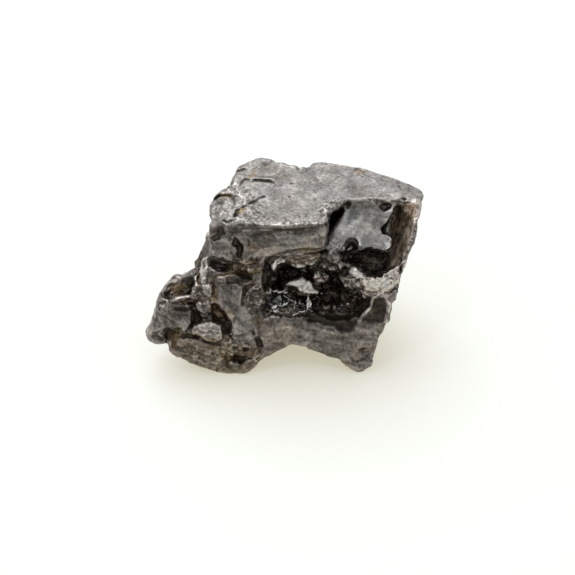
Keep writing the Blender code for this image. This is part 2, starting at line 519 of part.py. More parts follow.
def grown(mesh, reach):
    """The same solid, fatter by this much all over."""
    fat = mesh.copy()
    moved = [vertex.co + vertex.normal * reach for vertex in fat.vertices]
    for vertex, place in zip(fat.vertices, moved):
        vertex.co = place
    holder = placed("growing", fat)
    melt = holder.modifiers.new("melt", "REMESH")
    melt.mode = "VOXEL"
    melt.voxel_size = VOXEL
    made = evaluated(holder)
    bpy.data.objects.remove(holder)
    return made


def rested(mesh):
    """Wears the feet and the heel flat where they reach below the table."""
    shape = bmesh.new()
    shape.from_mesh(mesh)
    everything = shape.verts[:] + shape.edges[:] + shape.faces[:]
    cut = bmesh.ops.bisect_plane(
        shape, geom=everything, plane_co=(0, 0, 0), plane_no=(0, 0, 1), clear_inner=True)
    rim = [item for item in cut["geom_cut"] if isinstance(item, bmesh.types.BMEdge)]
    bmesh.ops.holes_fill(shape, edges=rim)
    bmesh.ops.triangulate(shape, faces=shape.faces)
    shape.to_mesh(mesh)
    shape.free()


def crystal(name, middle, size, turn):
    """One eight-sided crystal, turned its own way."""
    tips = [Vector(tip) * size / 2 for tip in
            ((1, 0, 0), (-1, 0, 0), (0, 1, 0), (0, -1, 0), (0, 0, 1), (0, 0, -1))]
    twist = Euler([turn * rate for rate in CRYSTAL_TURNS]).to_matrix()
    return hull(name, [middle + twist @ tip for tip in tips])


def largest_piece(mesh):
    """Drops the loose crumbs that a cut leaves beside the main piece."""
    shape = bmesh.new()
    shape.from_mesh(mesh)
    left = set(shape.verts)
    pieces = []
    while left:
        piece = {left.pop()}
        to_visit = list(piece)
        while to_visit:
            corner = to_visit.pop()
            for edge in corner.link_edges:
                other = edge.other_vert(corner)
                if other in left:
                    left.remove(other)
                    piece.add(other)
                    to_visit.append(other)
        pieces.append(piece)
    pieces.sort(key=len)
    for crumb in pieces[:-1]:
        bmesh.ops.delete(shape, geom=list(crumb), context="VERTS")
    bmesh.ops.triangulate(shape, faces=shape.faces)
    shape.to_mesh(mesh)
    shape.free()
    return mesh


def crust(body):
    """The crystals on their bed, cut clear of the metal all round by CRUST_GAP."""
    bed = hull("crystal_bed", CRYSTAL_BED["bed"])
    combine(bed, {"bed_tail": CRYSTAL_BED["bed_tail"]}, "UNION")
    for number, (across, up, out, size) in enumerate(CRYSTALS):
        step = bed.modifiers.new("crystal", "BOOLEAN")
        step.operation = "UNION"
        step.object = crystal("crystal", shown(across, up, out), size * CRYSTAL_SIZE, number)
        step.solver = "EXACT"
    remesh_loss = VOXEL / 3  # how far a remesh may cut inside the surface
    metal_round = placed("metal_round", grown(body, CRUST_GAP + remesh_loss))
    metal_round.hide_render = True
    metal_round.display_type = "WIRE"
    cut = bed.modifiers.new("metal_round", "BOOLEAN")
    cut.operation = "DIFFERENCE"
    cut.object = metal_round
    cut.solver = "EXACT"
    return largest_piece(evaluated(bed))


def bounds(mesh):
    """The lowest and the highest corner of the mesh's box."""
    places = np.array([vertex.co for vertex in mesh.vertices])
    return places.min(axis=0), places.max(axis=0)


def metal(name, colour, metallic, roughness):
    """A plain material."""
    made = bpy.data.materials.new(name)
    made.use_nodes = True
    shader = made.node_tree.nodes["Principled BSDF"]
    shader.inputs["Base Color"].default_value = (*colour, 1.0)
    shader.inputs["Metallic"].default_value = metallic
    shader.inputs["Roughness"].default_value = roughness
    return made


def main():
    for old in list(bpy.data.objects):
        bpy.data.objects.remove(old)
    body = thinned(fused_body(), NUGGET_FACES)
    rested(body)
    crystals = crust(body)
    low, high = bounds(body)
    middle = (low + high) / 2
    print("nugget", len(body.polygons), "faces, crust", len(crystals.polygons), "faces;",
          np.round(high - low, 2), "mm, moved by", np.round((middle[0], middle[1], low[2]), 4))
    size = MM * LENGTH / (high[0] - low[0])
    settle = Matrix.Scale(size, 4) @ Matrix.Translation((-middle[0], -middle[1], -low[2]))
    body.transform(settle)
    crystals.transform(settle)
    body.materials.append(metal("platinum", (0.36, 0.35, 0.33), 0.9, 0.4))
    crystals.materials.append(metal("dark_crystal", (0.015, 0.012, 0.01), 0.0, 0.15))
    placed("nugget", body)
    placed("hollow_crystals", crystals)


main()
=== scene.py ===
# %% [markdown]
# # A platinum nugget
# The nugget is one natural lump of metal, about a centimetre long, with a worn flat top, a roofed
# hollow on its right, a deep middle hollow with dark crystals in it, and two feet with an arch
# between them. The solids give its form. These cells grow its fine skin, mix its metal and set up
# a small white studio round it. First the solids are loaded. They are read and never changed.

# %% Load the solids
import math

import bmesh
import bpy
import numpy as np
from mathutils import Euler, Matrix, Vector, kdtree, noise
from mathutils.bvhtree import BVHTree


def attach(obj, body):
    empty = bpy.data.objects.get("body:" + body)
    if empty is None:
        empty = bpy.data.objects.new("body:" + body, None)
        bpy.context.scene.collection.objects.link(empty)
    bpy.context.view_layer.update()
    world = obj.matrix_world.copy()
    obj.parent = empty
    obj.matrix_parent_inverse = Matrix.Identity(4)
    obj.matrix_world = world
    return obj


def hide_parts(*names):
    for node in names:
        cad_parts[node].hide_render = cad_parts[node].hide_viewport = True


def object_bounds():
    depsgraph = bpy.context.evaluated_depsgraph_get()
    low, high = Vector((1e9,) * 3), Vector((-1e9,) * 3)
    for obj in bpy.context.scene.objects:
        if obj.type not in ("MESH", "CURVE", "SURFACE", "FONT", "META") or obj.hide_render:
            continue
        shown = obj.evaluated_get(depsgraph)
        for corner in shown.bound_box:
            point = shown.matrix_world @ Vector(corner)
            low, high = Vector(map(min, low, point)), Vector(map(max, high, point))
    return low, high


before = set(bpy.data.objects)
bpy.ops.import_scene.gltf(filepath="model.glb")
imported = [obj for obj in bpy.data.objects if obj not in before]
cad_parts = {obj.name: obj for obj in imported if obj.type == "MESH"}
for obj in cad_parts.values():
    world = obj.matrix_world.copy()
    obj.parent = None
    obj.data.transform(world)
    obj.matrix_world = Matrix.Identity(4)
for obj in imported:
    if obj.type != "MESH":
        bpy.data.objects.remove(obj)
solid_box = [list(corner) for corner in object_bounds()]
print("solids:", sorted(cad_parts), "box", np.round(solid_box, 5).tolist())

# %% [markdown]
# ## Where things are
# The show side is seen from the front, 40 degrees above the table. A place on it is given as
# across and up, in the layout's millimetres: across from the left tip and up from the lowest foot,
# both in the plane of view. A third number, out, is its depth towards the viewer. That is how one
# would note down a find: cracks, pits and ledges are pointed at where they are seen.

# %% The layout of the show side
LAYOUT_WIDTH = 10.41  # left tip to right nose, in the layout's millimetres
LAYOUT_CORNER = Vector((0.049, -0.084, 0.0))  # where the box's left, front, lowest corner falls
VIEW_RISE = math.radians(40)
SIN, COS = math.sin(VIEW_RISE), math.cos(VIEW_RISE)

box_low, box_high = Vector(solid_box[0]), Vector(solid_box[1])
UNIT = (box_high.x - box_low.x) / LAYOUT_WIDTH  # metres in a layout millimetre
TO_LAYOUT = Matrix.Translation(LAYOUT_CORNER) @ Matrix.Scale(1 / UNIT, 4) @ Matrix.Translation(-box_low)
TO_WORLD = TO_LAYOUT.inverted()


def shown(across, up, out):
    """The world place seen at (across, up), this far out."""
    return TO_WORLD @ Vector((across, up * SIN - out * COS, up * COS + out * SIN))


print("one layout millimetre is", round(UNIT * 1000, 4), "mm")

# %% [markdown]
# ## Camera
# A long lens from the front keeps the lines of a small thing straight. It looks down at 40
# degrees, at the middle of the picture.

# %% Camera
PIXEL = 0.0375  # layout millimetres across one pixel of a picture 575 pixels wide
PICTURE = 575
LENS, SENSOR = 400.0, 36.0
left_tip_column, lowest_row = 145.0, 373.0  # the pixels of across 0 and up 0

picture_width = PICTURE * PIXEL * UNIT
look_at = shown((PICTURE / 2 - left_tip_column) * PIXEL, (lowest_row - PICTURE / 2) * PIXEL, 1.0)
towards_viewer = Vector((0.0, -COS, SIN))
camera_data = bpy.data.cameras.new("camera")
camera_data.lens = LENS
camera_data.sensor_width = SENSOR
camera_data.clip_start = 0.01
camera_data.clip_end = 10.0
camera = bpy.data.objects.new("camera", camera_data)
bpy.context.scene.collection.objects.link(camera)
distance = picture_width * LENS / SENSOR
camera.location = look_at + towards_viewer * distance
camera.rotation_mode = "QUATERNION"
camera.rotation_quaternion = (-towards_viewer).to_track_quat("-Z", "Y")
bpy.context.scene.camera = camera
print("camera", round(distance * 1000), "mm away")

# %% [markdown]
# ## Small tools for meshes
# A modifier can be run as a step: the mesh goes in, the modifier works, and a plain new mesh comes
# out. That keeps the finished piece free of live modifiers. A solid's mesh is loose triangles, so
# a copy of it has its doubled points merged before anything grows on it.

# %% Tools for meshes
DOUBLES = 1e-5  # layout millimetres between points that are one and the same


def mesh_object(name, mesh):
    """An object for the mesh, in the scene."""
    made = bpy.data.objects.new(name, mesh)
    bpy.context.scene.collection.objects.link(made)
    return made


def with_modifier(mesh, kind, **settings):
    """The mesh that one modifier makes of this mesh."""
    holder = mesh_object("holder", mesh)
    modifier = holder.modifiers.new("step", kind)
    for name, value in settings.items():
        setattr(modifier, name, value)
    graph = bpy.context.evaluated_depsgraph_get()
    made = bpy.data.meshes.new_from_object(holder.evaluated_get(graph))
    bpy.data.objects.remove(holder)
    return made


def solid_copy(node):
    """A copy of a solid's mesh in layout millimetres, with its doubled points merged."""
    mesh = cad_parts[node].data.copy()
    mesh.transform(TO_LAYOUT)
    shape = bmesh.new()
    shape.from_mesh(mesh)
    bmesh.ops.remove_doubles(shape, verts=shape.verts, dist=DOUBLES)
    shape.to_mesh(mesh)
    shape.free()
    return mesh


print("tools for meshes ready")

# %% [markdown]
# ## Small tools for the skin
# The skin is worked as arrays of points, the way a sculptor works wax. A place is marked first:
# either a line of some width, or a patch inside an outline. Then what is marked is dug in, raised,
# smoothed, pressed flat or turned into a leaning face. Mostly only what the viewer can see there
# is marked, so the form behind it stays as it is.

# %% Tools for the skin
VIEW = np.array(towards_viewer)
CELL = 0.06  # layout millimetres across a cell of the depth map
SEEN_DEPTH = 0.25  # how far behind the foremost point a point still counts as seen
EDGE_WANDER = ((0.30, 0.055), (0.11, 0.035))  # length and height of the swells in a marked edge
LINE_WANDER = 0.6  # a line's edge wanders this much as far as an outline's
STRAY = sum(height for _, height in EDGE_WANDER)
CHIP_TILT = 4.0
CHIP_SHIFTS = [Vector((shift, 0.0, 2.0 * shift)) for shift in (0.0, 11.3, 23.7, 37.1)]


def smooth_share(share):
    """Eases a share between 0 and 1."""
    share = np.clip(share, 0.0, 1.0)
    return share * share * (3.0 - 2.0 * share)


class Skin:
    """The points of a mesh as arrays, with the sculptor's tools."""

    def __init__(self, mesh):
        self.mesh = mesh
        count = len(mesh.vertices)
        flat = np.empty(count * 3)
        mesh.vertices.foreach_get("co", flat)
        self.points = flat.reshape(count, 3)
        ends = np.empty(len(mesh.edges) * 2, dtype=np.int64)
        mesh.edges.foreach_get("vertices", ends)
        self.first, self.second = ends.reshape(-1, 2).T.copy()
        self.degree = np.bincount(ends, minlength=count).clip(1)
        self.look_again()
        self.edge_noise = sum(height * self.noise(length) for length, height in EDGE_WANDER)

    def look_again(self):
        """Writes the points to the mesh, and reads the normals and the view back."""
        self.mesh.vertices.foreach_set("co", self.points.ravel())
        self.mesh.update()
        flat = np.empty(len(self.points) * 3)
        self.mesh.vertex_normals.foreach_get("vector", flat)
        self.normals = flat.reshape(-1, 3)
        x, y, z = self.points.T
        self.across, self.up, self.out = x, y * SIN + z * COS, z * SIN - y * COS
        cells = [(values / CELL).astype(int) for values in (self.across + 1, self.up + 1)]
        depth = np.full([cell.max() + 1 for cell in cells], -9.0)
        np.maximum.at(depth, tuple(cells), self.out)
        behind = depth[tuple(cells)] - self.out
        facing = smooth_share((self.normals @ VIEW) * 3.0)
        self.seen = facing * smooth_share(2.0 - behind / SEEN_DEPTH)
        past_the_rim = smooth_share((self.normals @ VIEW) * 2.0 + 1.0)
        self.edge = past_the_rim * smooth_share(2.5 - behind / SEEN_DEPTH)

    def around(self, values):
        """Each point's mean of the values at its neighbours."""
        count = len(self.points)
        if values.ndim == 1:
            total = np.bincount(self.first, values[self.second], count)
            total += np.bincount(self.second, values[self.first], count)
            return total / self.degree
        return np.column_stack([self.around(column) for column in values.T])

    def relax(self, rounds, share=None):
        """Smooths the form, or only the marked share of it."""
        amount = 0.5 if share is None else 0.5 * share[:, None]
        for _ in range(rounds):
            self.points += (self.around(self.points) - self.points) * amount
        self.look_again()

    def relief(self, rounds):
        """How far each point stands out of the form smoothed this many times."""
        smooth = self.points
        for _ in range(rounds):
            smooth = smooth + (self.around(smooth) - smooth) * 0.5
        return ((self.points - smooth) * self.normals).sum(axis=1)

    def noise(self, length, salt=0.0):
        """Smooth noise over the skin, between -1 and 1, with swells of this length."""
        spots = (self.points / length + salt).tolist()
        return np.array([noise.noise(spot) for spot in spots])

    def chips(self, size, salt, squeeze=1.0):
        """Flat facets of this size, each tilted its own way, and a number for each facet."""
        spots = self.points / size
        spots[:, 2] /= squeeze
        middles = [noise.voronoi(spot)[1][0] for spot in spots.tolist()]
        numbers = np.array([
            [noise.noise(middle * salt + shift) for shift in CHIP_SHIFTS] for middle in middles])
        offsets = spots - np.array(middles)
        tilted = (offsets * numbers[:, :3]).sum(axis=1) * CHIP_TILT
        return tilted + numbers[:, 3], numbers[:, 3]

    def streaks(self, heading, width, length, salt=0.0):
        """Noise drawn out along a heading in the view, in degrees from across towards up."""
        run, rise = math.cos(math.radians(heading)), math.sin(math.radians(heading))
        along = (self.across * run + self.up * rise) / length
        side = (self.up * run - self.across * rise) / width
        spots = np.column_stack([along, side, self.out / width + salt]).tolist()
        return np.array([noise.noise(spot) for spot in spots])

    def mark(self, path, width=None, soft=0.08, where=None):
        """How much of each point lies on a line of this width, or inside an outline."""
        where = self.seen if where is None else where
        places = np.array(path, dtype=float)
        outline = width is None
        reach = soft + STRAY + (0.0 if outline else width)
        low, high = places.min(axis=0) - reach, places.max(axis=0) + reach
        near = np.flatnonzero(
            (self.across > low[0]) & (self.across < high[0])
            & (self.up > low[1]) & (self.up < high[1]) & (where > 0.01))
        across, up = self.across[near], self.up[near]
        distance = np.full(len(near), 99.0)
        inside = np.zeros(len(near), dtype=bool)
        ends = np.roll(places, -1, axis=0) if outline else places[1:]
        starts = places if outline or len(places) == 1 else places[:-1]
        if len(places) == 1:
            ends = places + 1e-6
        for (a, b), (c, d) in zip(starts, ends):
            run, rise = c - a, d - b
            share = ((across - a) * run + (up - b) * rise) / (run * run + rise * rise)
            share = np.clip(share, 0.0, 1.0)
            gap = np.hypot(across - a - share * run, up - b - share * rise)
            distance = np.minimum(distance, gap)
            if outline and b != d:
                crosses = ((b > up) != (d > up)) & (across < (up - b) / rise * run + a)
                inside ^= crosses
        distance = np.where(inside, -distance, distance) - (0.0 if outline else width)
        made = np.zeros(len(self.points))
        stray = self.edge_noise[near] * (1.0 if outline else LINE_WANDER)
        made[near] = smooth_share(0.5 - (distance + stray) / soft)
        return made * where

    def dig(self, share, depth):
        """Sinks what is marked, straight away from the viewer."""
        self.points -= (share * depth)[:, None] * VIEW

    def lift(self, share, height):
        """Raises what is marked, out of the surface."""
        self.points += (share * height)[:, None] * self.normals

    def press(self, share, amount):
        """Presses what is marked towards one flat face through it."""
        spots = np.column_stack([self.across, self.up, np.ones(len(self.points))])
        held = share > 0.5
        slope = np.linalg.lstsq(spots[held], self.out[held], rcond=None)[0]
        self.dig(share * (self.out - spots @ slope), amount)

    def lean(self, share, forward, rise):
        """Turns what is marked into one flat face, brought forward and leaning back as it rises."""
        held = share > 0.5
        goal = self.out[held].mean() + forward - rise * (self.up - self.up[held].mean())
        self.dig(share * (self.out - goal), 1.0)


print("tools for the skin ready")

# %% [markdown]
# ## The nugget's skin: base
# The solid's flat facets are only its rough form. A voxel remesh lays an even net of small
# squares over it, fine enough to carry pits and cracks a tenth of a millimetre wide, and a few
# rounds of smoothing melt the facets together. Subdivision would keep the uneven triangles.
# Smoothing also eats a little off every corner, so the worn ends of the nugget are filled out
# again, softly, up to the line that they draw against the table. One side of the notch is cut
# back instead.

# %% Base of the skin
SKIN_GRAIN = 0.042  # layout millimetres across one square of the net
SHRINK = 0.02  # what the smoothing takes away
FULLER = {  # height, which is below zero where it is cut back, softness of the edge, outline
    "sole": (0.12, 0.3, [
        (0.95, 1.1), (1.2, 0.9), (2.0, 0.55), (3.0, 0.35), (3.7, 0.35), (3.9, 0.4), (3.9, 0.05),
        (3.4, -0.3), (2.0, -0.1), (0.9, 0.5)]),
    "sole_corner": (0.07, 0.16, [(0.98, 1.1), (1.3, 0.9), (1.3, 0.6), (0.9, 0.6)]),
    "top_back": (0.16, 0.35, [(5.1, 8.1), (5.1, 7.76), (5.6, 7.46), (6.1, 7.46), (6.14, 7.7), (5.7, 7.86)]),
    "top_back_left": (0.08, 0.3, [(3.8, 8.3), (3.8, 7.9), (5.1, 7.8), (5.1, 8.1)]),
    "leg": (0.16, 0.3, [(9.0, 2.85), (9.36, 2.85), (9.5, 2.4), (9.3, 1.9), (9.0, 2.0)]),
    "fin": (0.16, 0.2, [(1.6, 4.2), (2.0, 4.2), (2.06, 3.84), (1.8, 3.64), (1.5, 3.7)]),
    "block": (0.1, 0.2, [(2.3, 6.4), (2.6, 6.4), (2.6, 5.8), (2.3, 5.8)]),
    "wall": (0.08, 0.25, [(9.9, 5.6), (10.3, 5.6), (10.1, 4.8), (9.8, 4.8)]),
    "finger": (0.08, 0.2, [(-0.2, 1.8), (0.1, 1.8), (0.2, 1.3), (-0.2, 1.2)]),
    "finger_side": (0.06, 0.2, [(0.2, 2.4), (0.5, 3.4), (0.8, 3.5), (0.6, 2.8), (0.4, 2.3)]),
    "finger_under": (0.1, 0.15, [(0.1, 1.36), (0.75, 1.3), (0.75, 0.95), (0.1, 0.95)]),
    "top_right": (0.045, 0.3, [(6.3, 7.4), (10.2, 6.5), (10.6, 6.5), (10.6, 7.4), (6.3, 8.3)]),
    "notch_left": (0.06, 0.1, [(5.5, 7.85), (5.92, 7.75), (5.92, 7.4), (5.5, 7.4)]),
    "notch_right": (-0.09, 0.08, [(5.98, 7.95), (6.24, 7.95), (6.24, 7.6), (5.98, 7.55)]),
    "leg_side": (0.08, 0.2, [(8.8, 2.1), (9.2, 2.1), (9.1, 1.5), (8.8, 1.5)]),
    "foot": (0.05, 0.2, [(7.6, 0.3), (8.8, 0.5), (8.8, -0.2), (7.6, -0.2)]),
    "brow_left": (0.08, 0.2, [(2.2, 5.6), (2.5, 5.6), (2.4, 5.0), (2.2, 5.0)]),
    "crest_left": (0.06, 0.15, [(0.45, 3.2), (0.6, 3.55), (0.9, 3.6), (0.8, 3.2)]),
}

skin = Skin(with_modifier(solid_copy("nugget"), "REMESH", mode="VOXEL", voxel_size=SKIN_GRAIN))
skin.relax(3)
skin.lift(np.full(len(skin.points), SHRINK), 1.0)
for height, soft, outline in FULLER.values():
    skin.lift(skin.mark(outline, soft=soft, where=skin.edge), height)
skin.relax(1)
print("skin starts with", len(skin.points), "points")

# %% [markdown]
# ## The nugget's skin: pressed and eased faces
# Rolled about in a river bed, the nugget has lost the sharp corners of its outer faces, while
# its hollows stayed rough. A worn face is made in two ways here: it is pressed towards the flat
# plane that fits it best, which keeps its rim, or it is smoothed for many rounds, which melts the
# rim too.

# %% Pressed and eased faces
PRESS_EDGE, EASE_EDGE = 0.15, 0.2  # softness of the edge
outline_top = [
    (2.4, 5.6), (3.4, 5.5), (6.7, 5.6), (7.6, 6.5), (10.6, 6.5), (10.7, 7.3), (6.0, 8.3), (3.0, 8.3),
    (2.2, 6.6)]
outline_brow = [(2.3, 4.2), (3.5, 4.2), (5.0, 4.55), (6.8, 4.6), (6.85, 5.6), (3.4, 5.5), (2.4, 5.6)]
outline_plate = [
    (6.84, 4.6), (6.98, 5.3), (7.26, 5.64), (7.5, 6.1), (7.7, 6.36), (8.6, 6.45), (9.3, 6.3), (9.2, 5.8),
    (9.2, 4.6), (8.8, 4.45), (8.2, 4.7), (7.95, 5.05), (7.6, 5.05), (7.4, 4.6)]
outline_bridge = [
    (4.2, 1.95), (5.4, 2.0), (7.1, 1.6), (8.0, 1.9), (8.6, 2.9), (9.2, 2.9), (9.3, 2.0), (8.6, -0.2),
    (7.6, -0.2), (6.8, 0.5), (5.4, 1.0), (4.4, 0.3)]
outline_tongue = [
    (2.84, 3.36), (3.22, 3.42), (3.6, 3.38), (3.64, 3.0), (3.6, 2.6), (3.8, 2.4), (4.0, 2.14), (4.0, 1.86),
    (3.94, 1.6), (4.08, 1.34), (4.2, 1.02), (3.9, 0.88), (3.34, 1.12), (3.28, 1.5), (3.26, 1.86),
    (3.42, 2.02), (3.44, 2.2), (3.1, 2.24), (2.86, 2.48), (2.76, 2.8)]
outline_lobe = [(0.9, 1.0), (0.9, 2.8), (2.0, 3.6), (4.2, 4.2), (4.3, 0.3), (2.6, 0.2)]

PRESSED = {  # how far a place is pressed flat, outline
    "plate": (0.5, outline_plate),
    "tongue": (0.85, outline_tongue),
    "eyelid_join": (0.7, [(2.7, 3.5), (3.4, 3.46), (3.44, 3.1), (2.84, 3.06)]),
    "cheek": (0.4, [(0.9, 2.4), (1.7, 2.4), (1.7, 1.8), (0.9, 1.74)]),
    "chin": (0.8, [
        (1.92, 1.66), (2.2, 1.84), (2.84, 1.78), (2.84, 1.3), (2.54, 1.22), (2.3, 1.26), (2.0, 1.48)]),
    "mottled": (0.6, [(3.88, 3.2), (4.3, 3.2), (4.32, 2.6), (3.9, 2.6)]),
    "sole": (0.4, [(1.2, 1.2), (1.6, 1.26), (2.8, 0.94), (2.9, 0.5), (2.0, 0.5), (1.2, 0.8)]),
}
outline_pit = [(7.3, 4.5), (8.3, 4.7), (9.1, 4.5), (9.1, 3.8), (8.6, 3.6), (8.1, 3.8), (7.4, 4.1)]
EASED = {  # rounds of smoothing, outline
    "tongue": (40, outline_tongue),
    "finger_join": (50, [(0.7, 1.7), (0.66, 2.5), (0.96, 2.54), (0.96, 1.7)]),
    "top_notch": (40, [(5.1, 7.9), (5.4, 7.4), (6.0, 7.3), (6.4, 7.6), (6.2, 8.0), (5.6, 8.0)]),
    "plate": (16, outline_plate),
    "leg_oval": (24, [(8.1, 1.8), (8.4, 3.0), (9.2, 2.9), (9.3, 2.0), (8.8, 1.6)]),
    "crest": (20, [(0.8, 2.8), (0.9, 3.5), (1.5, 3.8), (2.0, 3.5), (1.8, 2.8)]),
    "lobe": (5, outline_lobe),
    "brow": (6, outline_brow),
    "tongue_top": (50, [(2.7, 3.44), (3.6, 3.42), (3.64, 3.1), (2.76, 3.08)]),
    "pit": (30, outline_pit),
    "hollow_floor": (20, [(6.4, 2.9), (7.6, 3.0), (8.3, 2.8), (8.2, 2.3), (7.4, 2.1), (6.4, 2.2)]),
    "top": (110, [
        (4.2, 6.2), (5.4, 5.9), (6.4, 6.1), (7.6, 6.7), (10.3, 6.8), (10.2, 7.1), (6.2, 7.6), (5.2, 7.7),
        (3.8, 7.8), (3.6, 7.3)]),
    "chin": (30, [(1.86, 1.68), (2.2, 1.88), (2.87, 1.82), (2.88, 1.26), (2.4, 1.2), (1.9, 1.5)]),
}

for amount, outline in PRESSED.values():
    skin.press(skin.mark(outline, soft=PRESS_EDGE), amount)
    skin.look_again()
for rounds, outline in EASED.values():
    skin.relax(rounds, skin.mark(outline, soft=EASE_EDGE))
print(len(PRESSED), "faces pressed and", len(EASED), "eased")

# %% [markdown]
# ## The nugget's skin: broad wear
# The broken places keep small plates at slightly different heights, as metal that tore along its
# crystals does, and every face has a slow swell. The worn faces have less of both, and a few calm
# places, such as the smooth plate in the right hollow, have next to none.

# %% Broad wear
PLATE = 0.42  # layout millimetres across one small plate
PLATE_LIFT = 0.045
SWELLS = ((0.9, 0.030), (0.38, 0.022), (0.17, 0.012))  # length and height
SWELL_WHEN_WORN = 0.35
WORN_EDGE, WORN_SPARED = 0.3, 0.75
CALM = {  # how far a place is spared, softness of the edge, outline
    "plate": (0.93, 0.15, outline_plate),
    "tongue": (0.75, 0.15, outline_tongue),
    "chin": (0.7, 0.1, [
        (1.92, 1.66), (2.22, 1.96), (2.44, 1.98), (2.88, 1.72), (2.84, 1.24), (2.44, 1.26)]),
    "cheek": (0.6, 0.15, [(0.84, 2.52), (1.8, 2.5), (1.76, 1.8), (1.5, 1.64), (0.8, 1.66)]),
    "leg_oval": (0.9, 0.15, [(8.0, 1.8), (8.5, 2.9), (9.2, 2.8), (9.1, 1.8)]),
    "ramp": (0.8, 0.15, [(5.7, 2.1), (6.4, 1.8), (7.0, 1.7), (7.4, 1.5), (7.9, 1.55), (8.0, 2.0)]),
    "top": (0.85, 0.3, [
        (4.2, 6.2), (5.4, 5.9), (6.4, 6.1), (7.6, 6.6), (10.6, 6.7), (10.4, 7.3), (6.0, 8.3), (3.4, 8.2),
        (3.8, 7.3)]),
}


def painted(skin, start, regions):
    """The start value, with each region's own value laid over it."""
    values = start.copy()
    for value, soft, outline in regions.values():
        values += (value - values) * skin.mark(outline, soft=soft)
    return values


calm = painted(skin, np.zeros(len(skin.points)), CALM)
worn = sum(skin.mark(outline, soft=WORN_EDGE) for outline in (outline_top, outline_brow, outline_bridge))
rough = 1.0 - WORN_SPARED * np.clip(worn, 0.0, 1.0)
plate_height = skin.chips(PLATE, 5.3)[1]
swell = sum(height * skin.noise(length, 7.0) for length, height in SWELLS)
lift = swell * (SWELL_WHEN_WORN + (1.0 - SWELL_WHEN_WORN) * rough) + plate_height * PLATE_LIFT * rough
skin.lift(lift * (1.0 - calm), 1.0)
skin.relax(1)
print("worn share of the skin", round(float(worn.mean()), 3))

# %% [markdown]
# ## The nugget's skin: raised plates
# On the torn left lobe, plates and knobs of metal overlap like shingles, each a little proud of
# the next, with soft edges. Each is an outline that is lifted out of the surface.

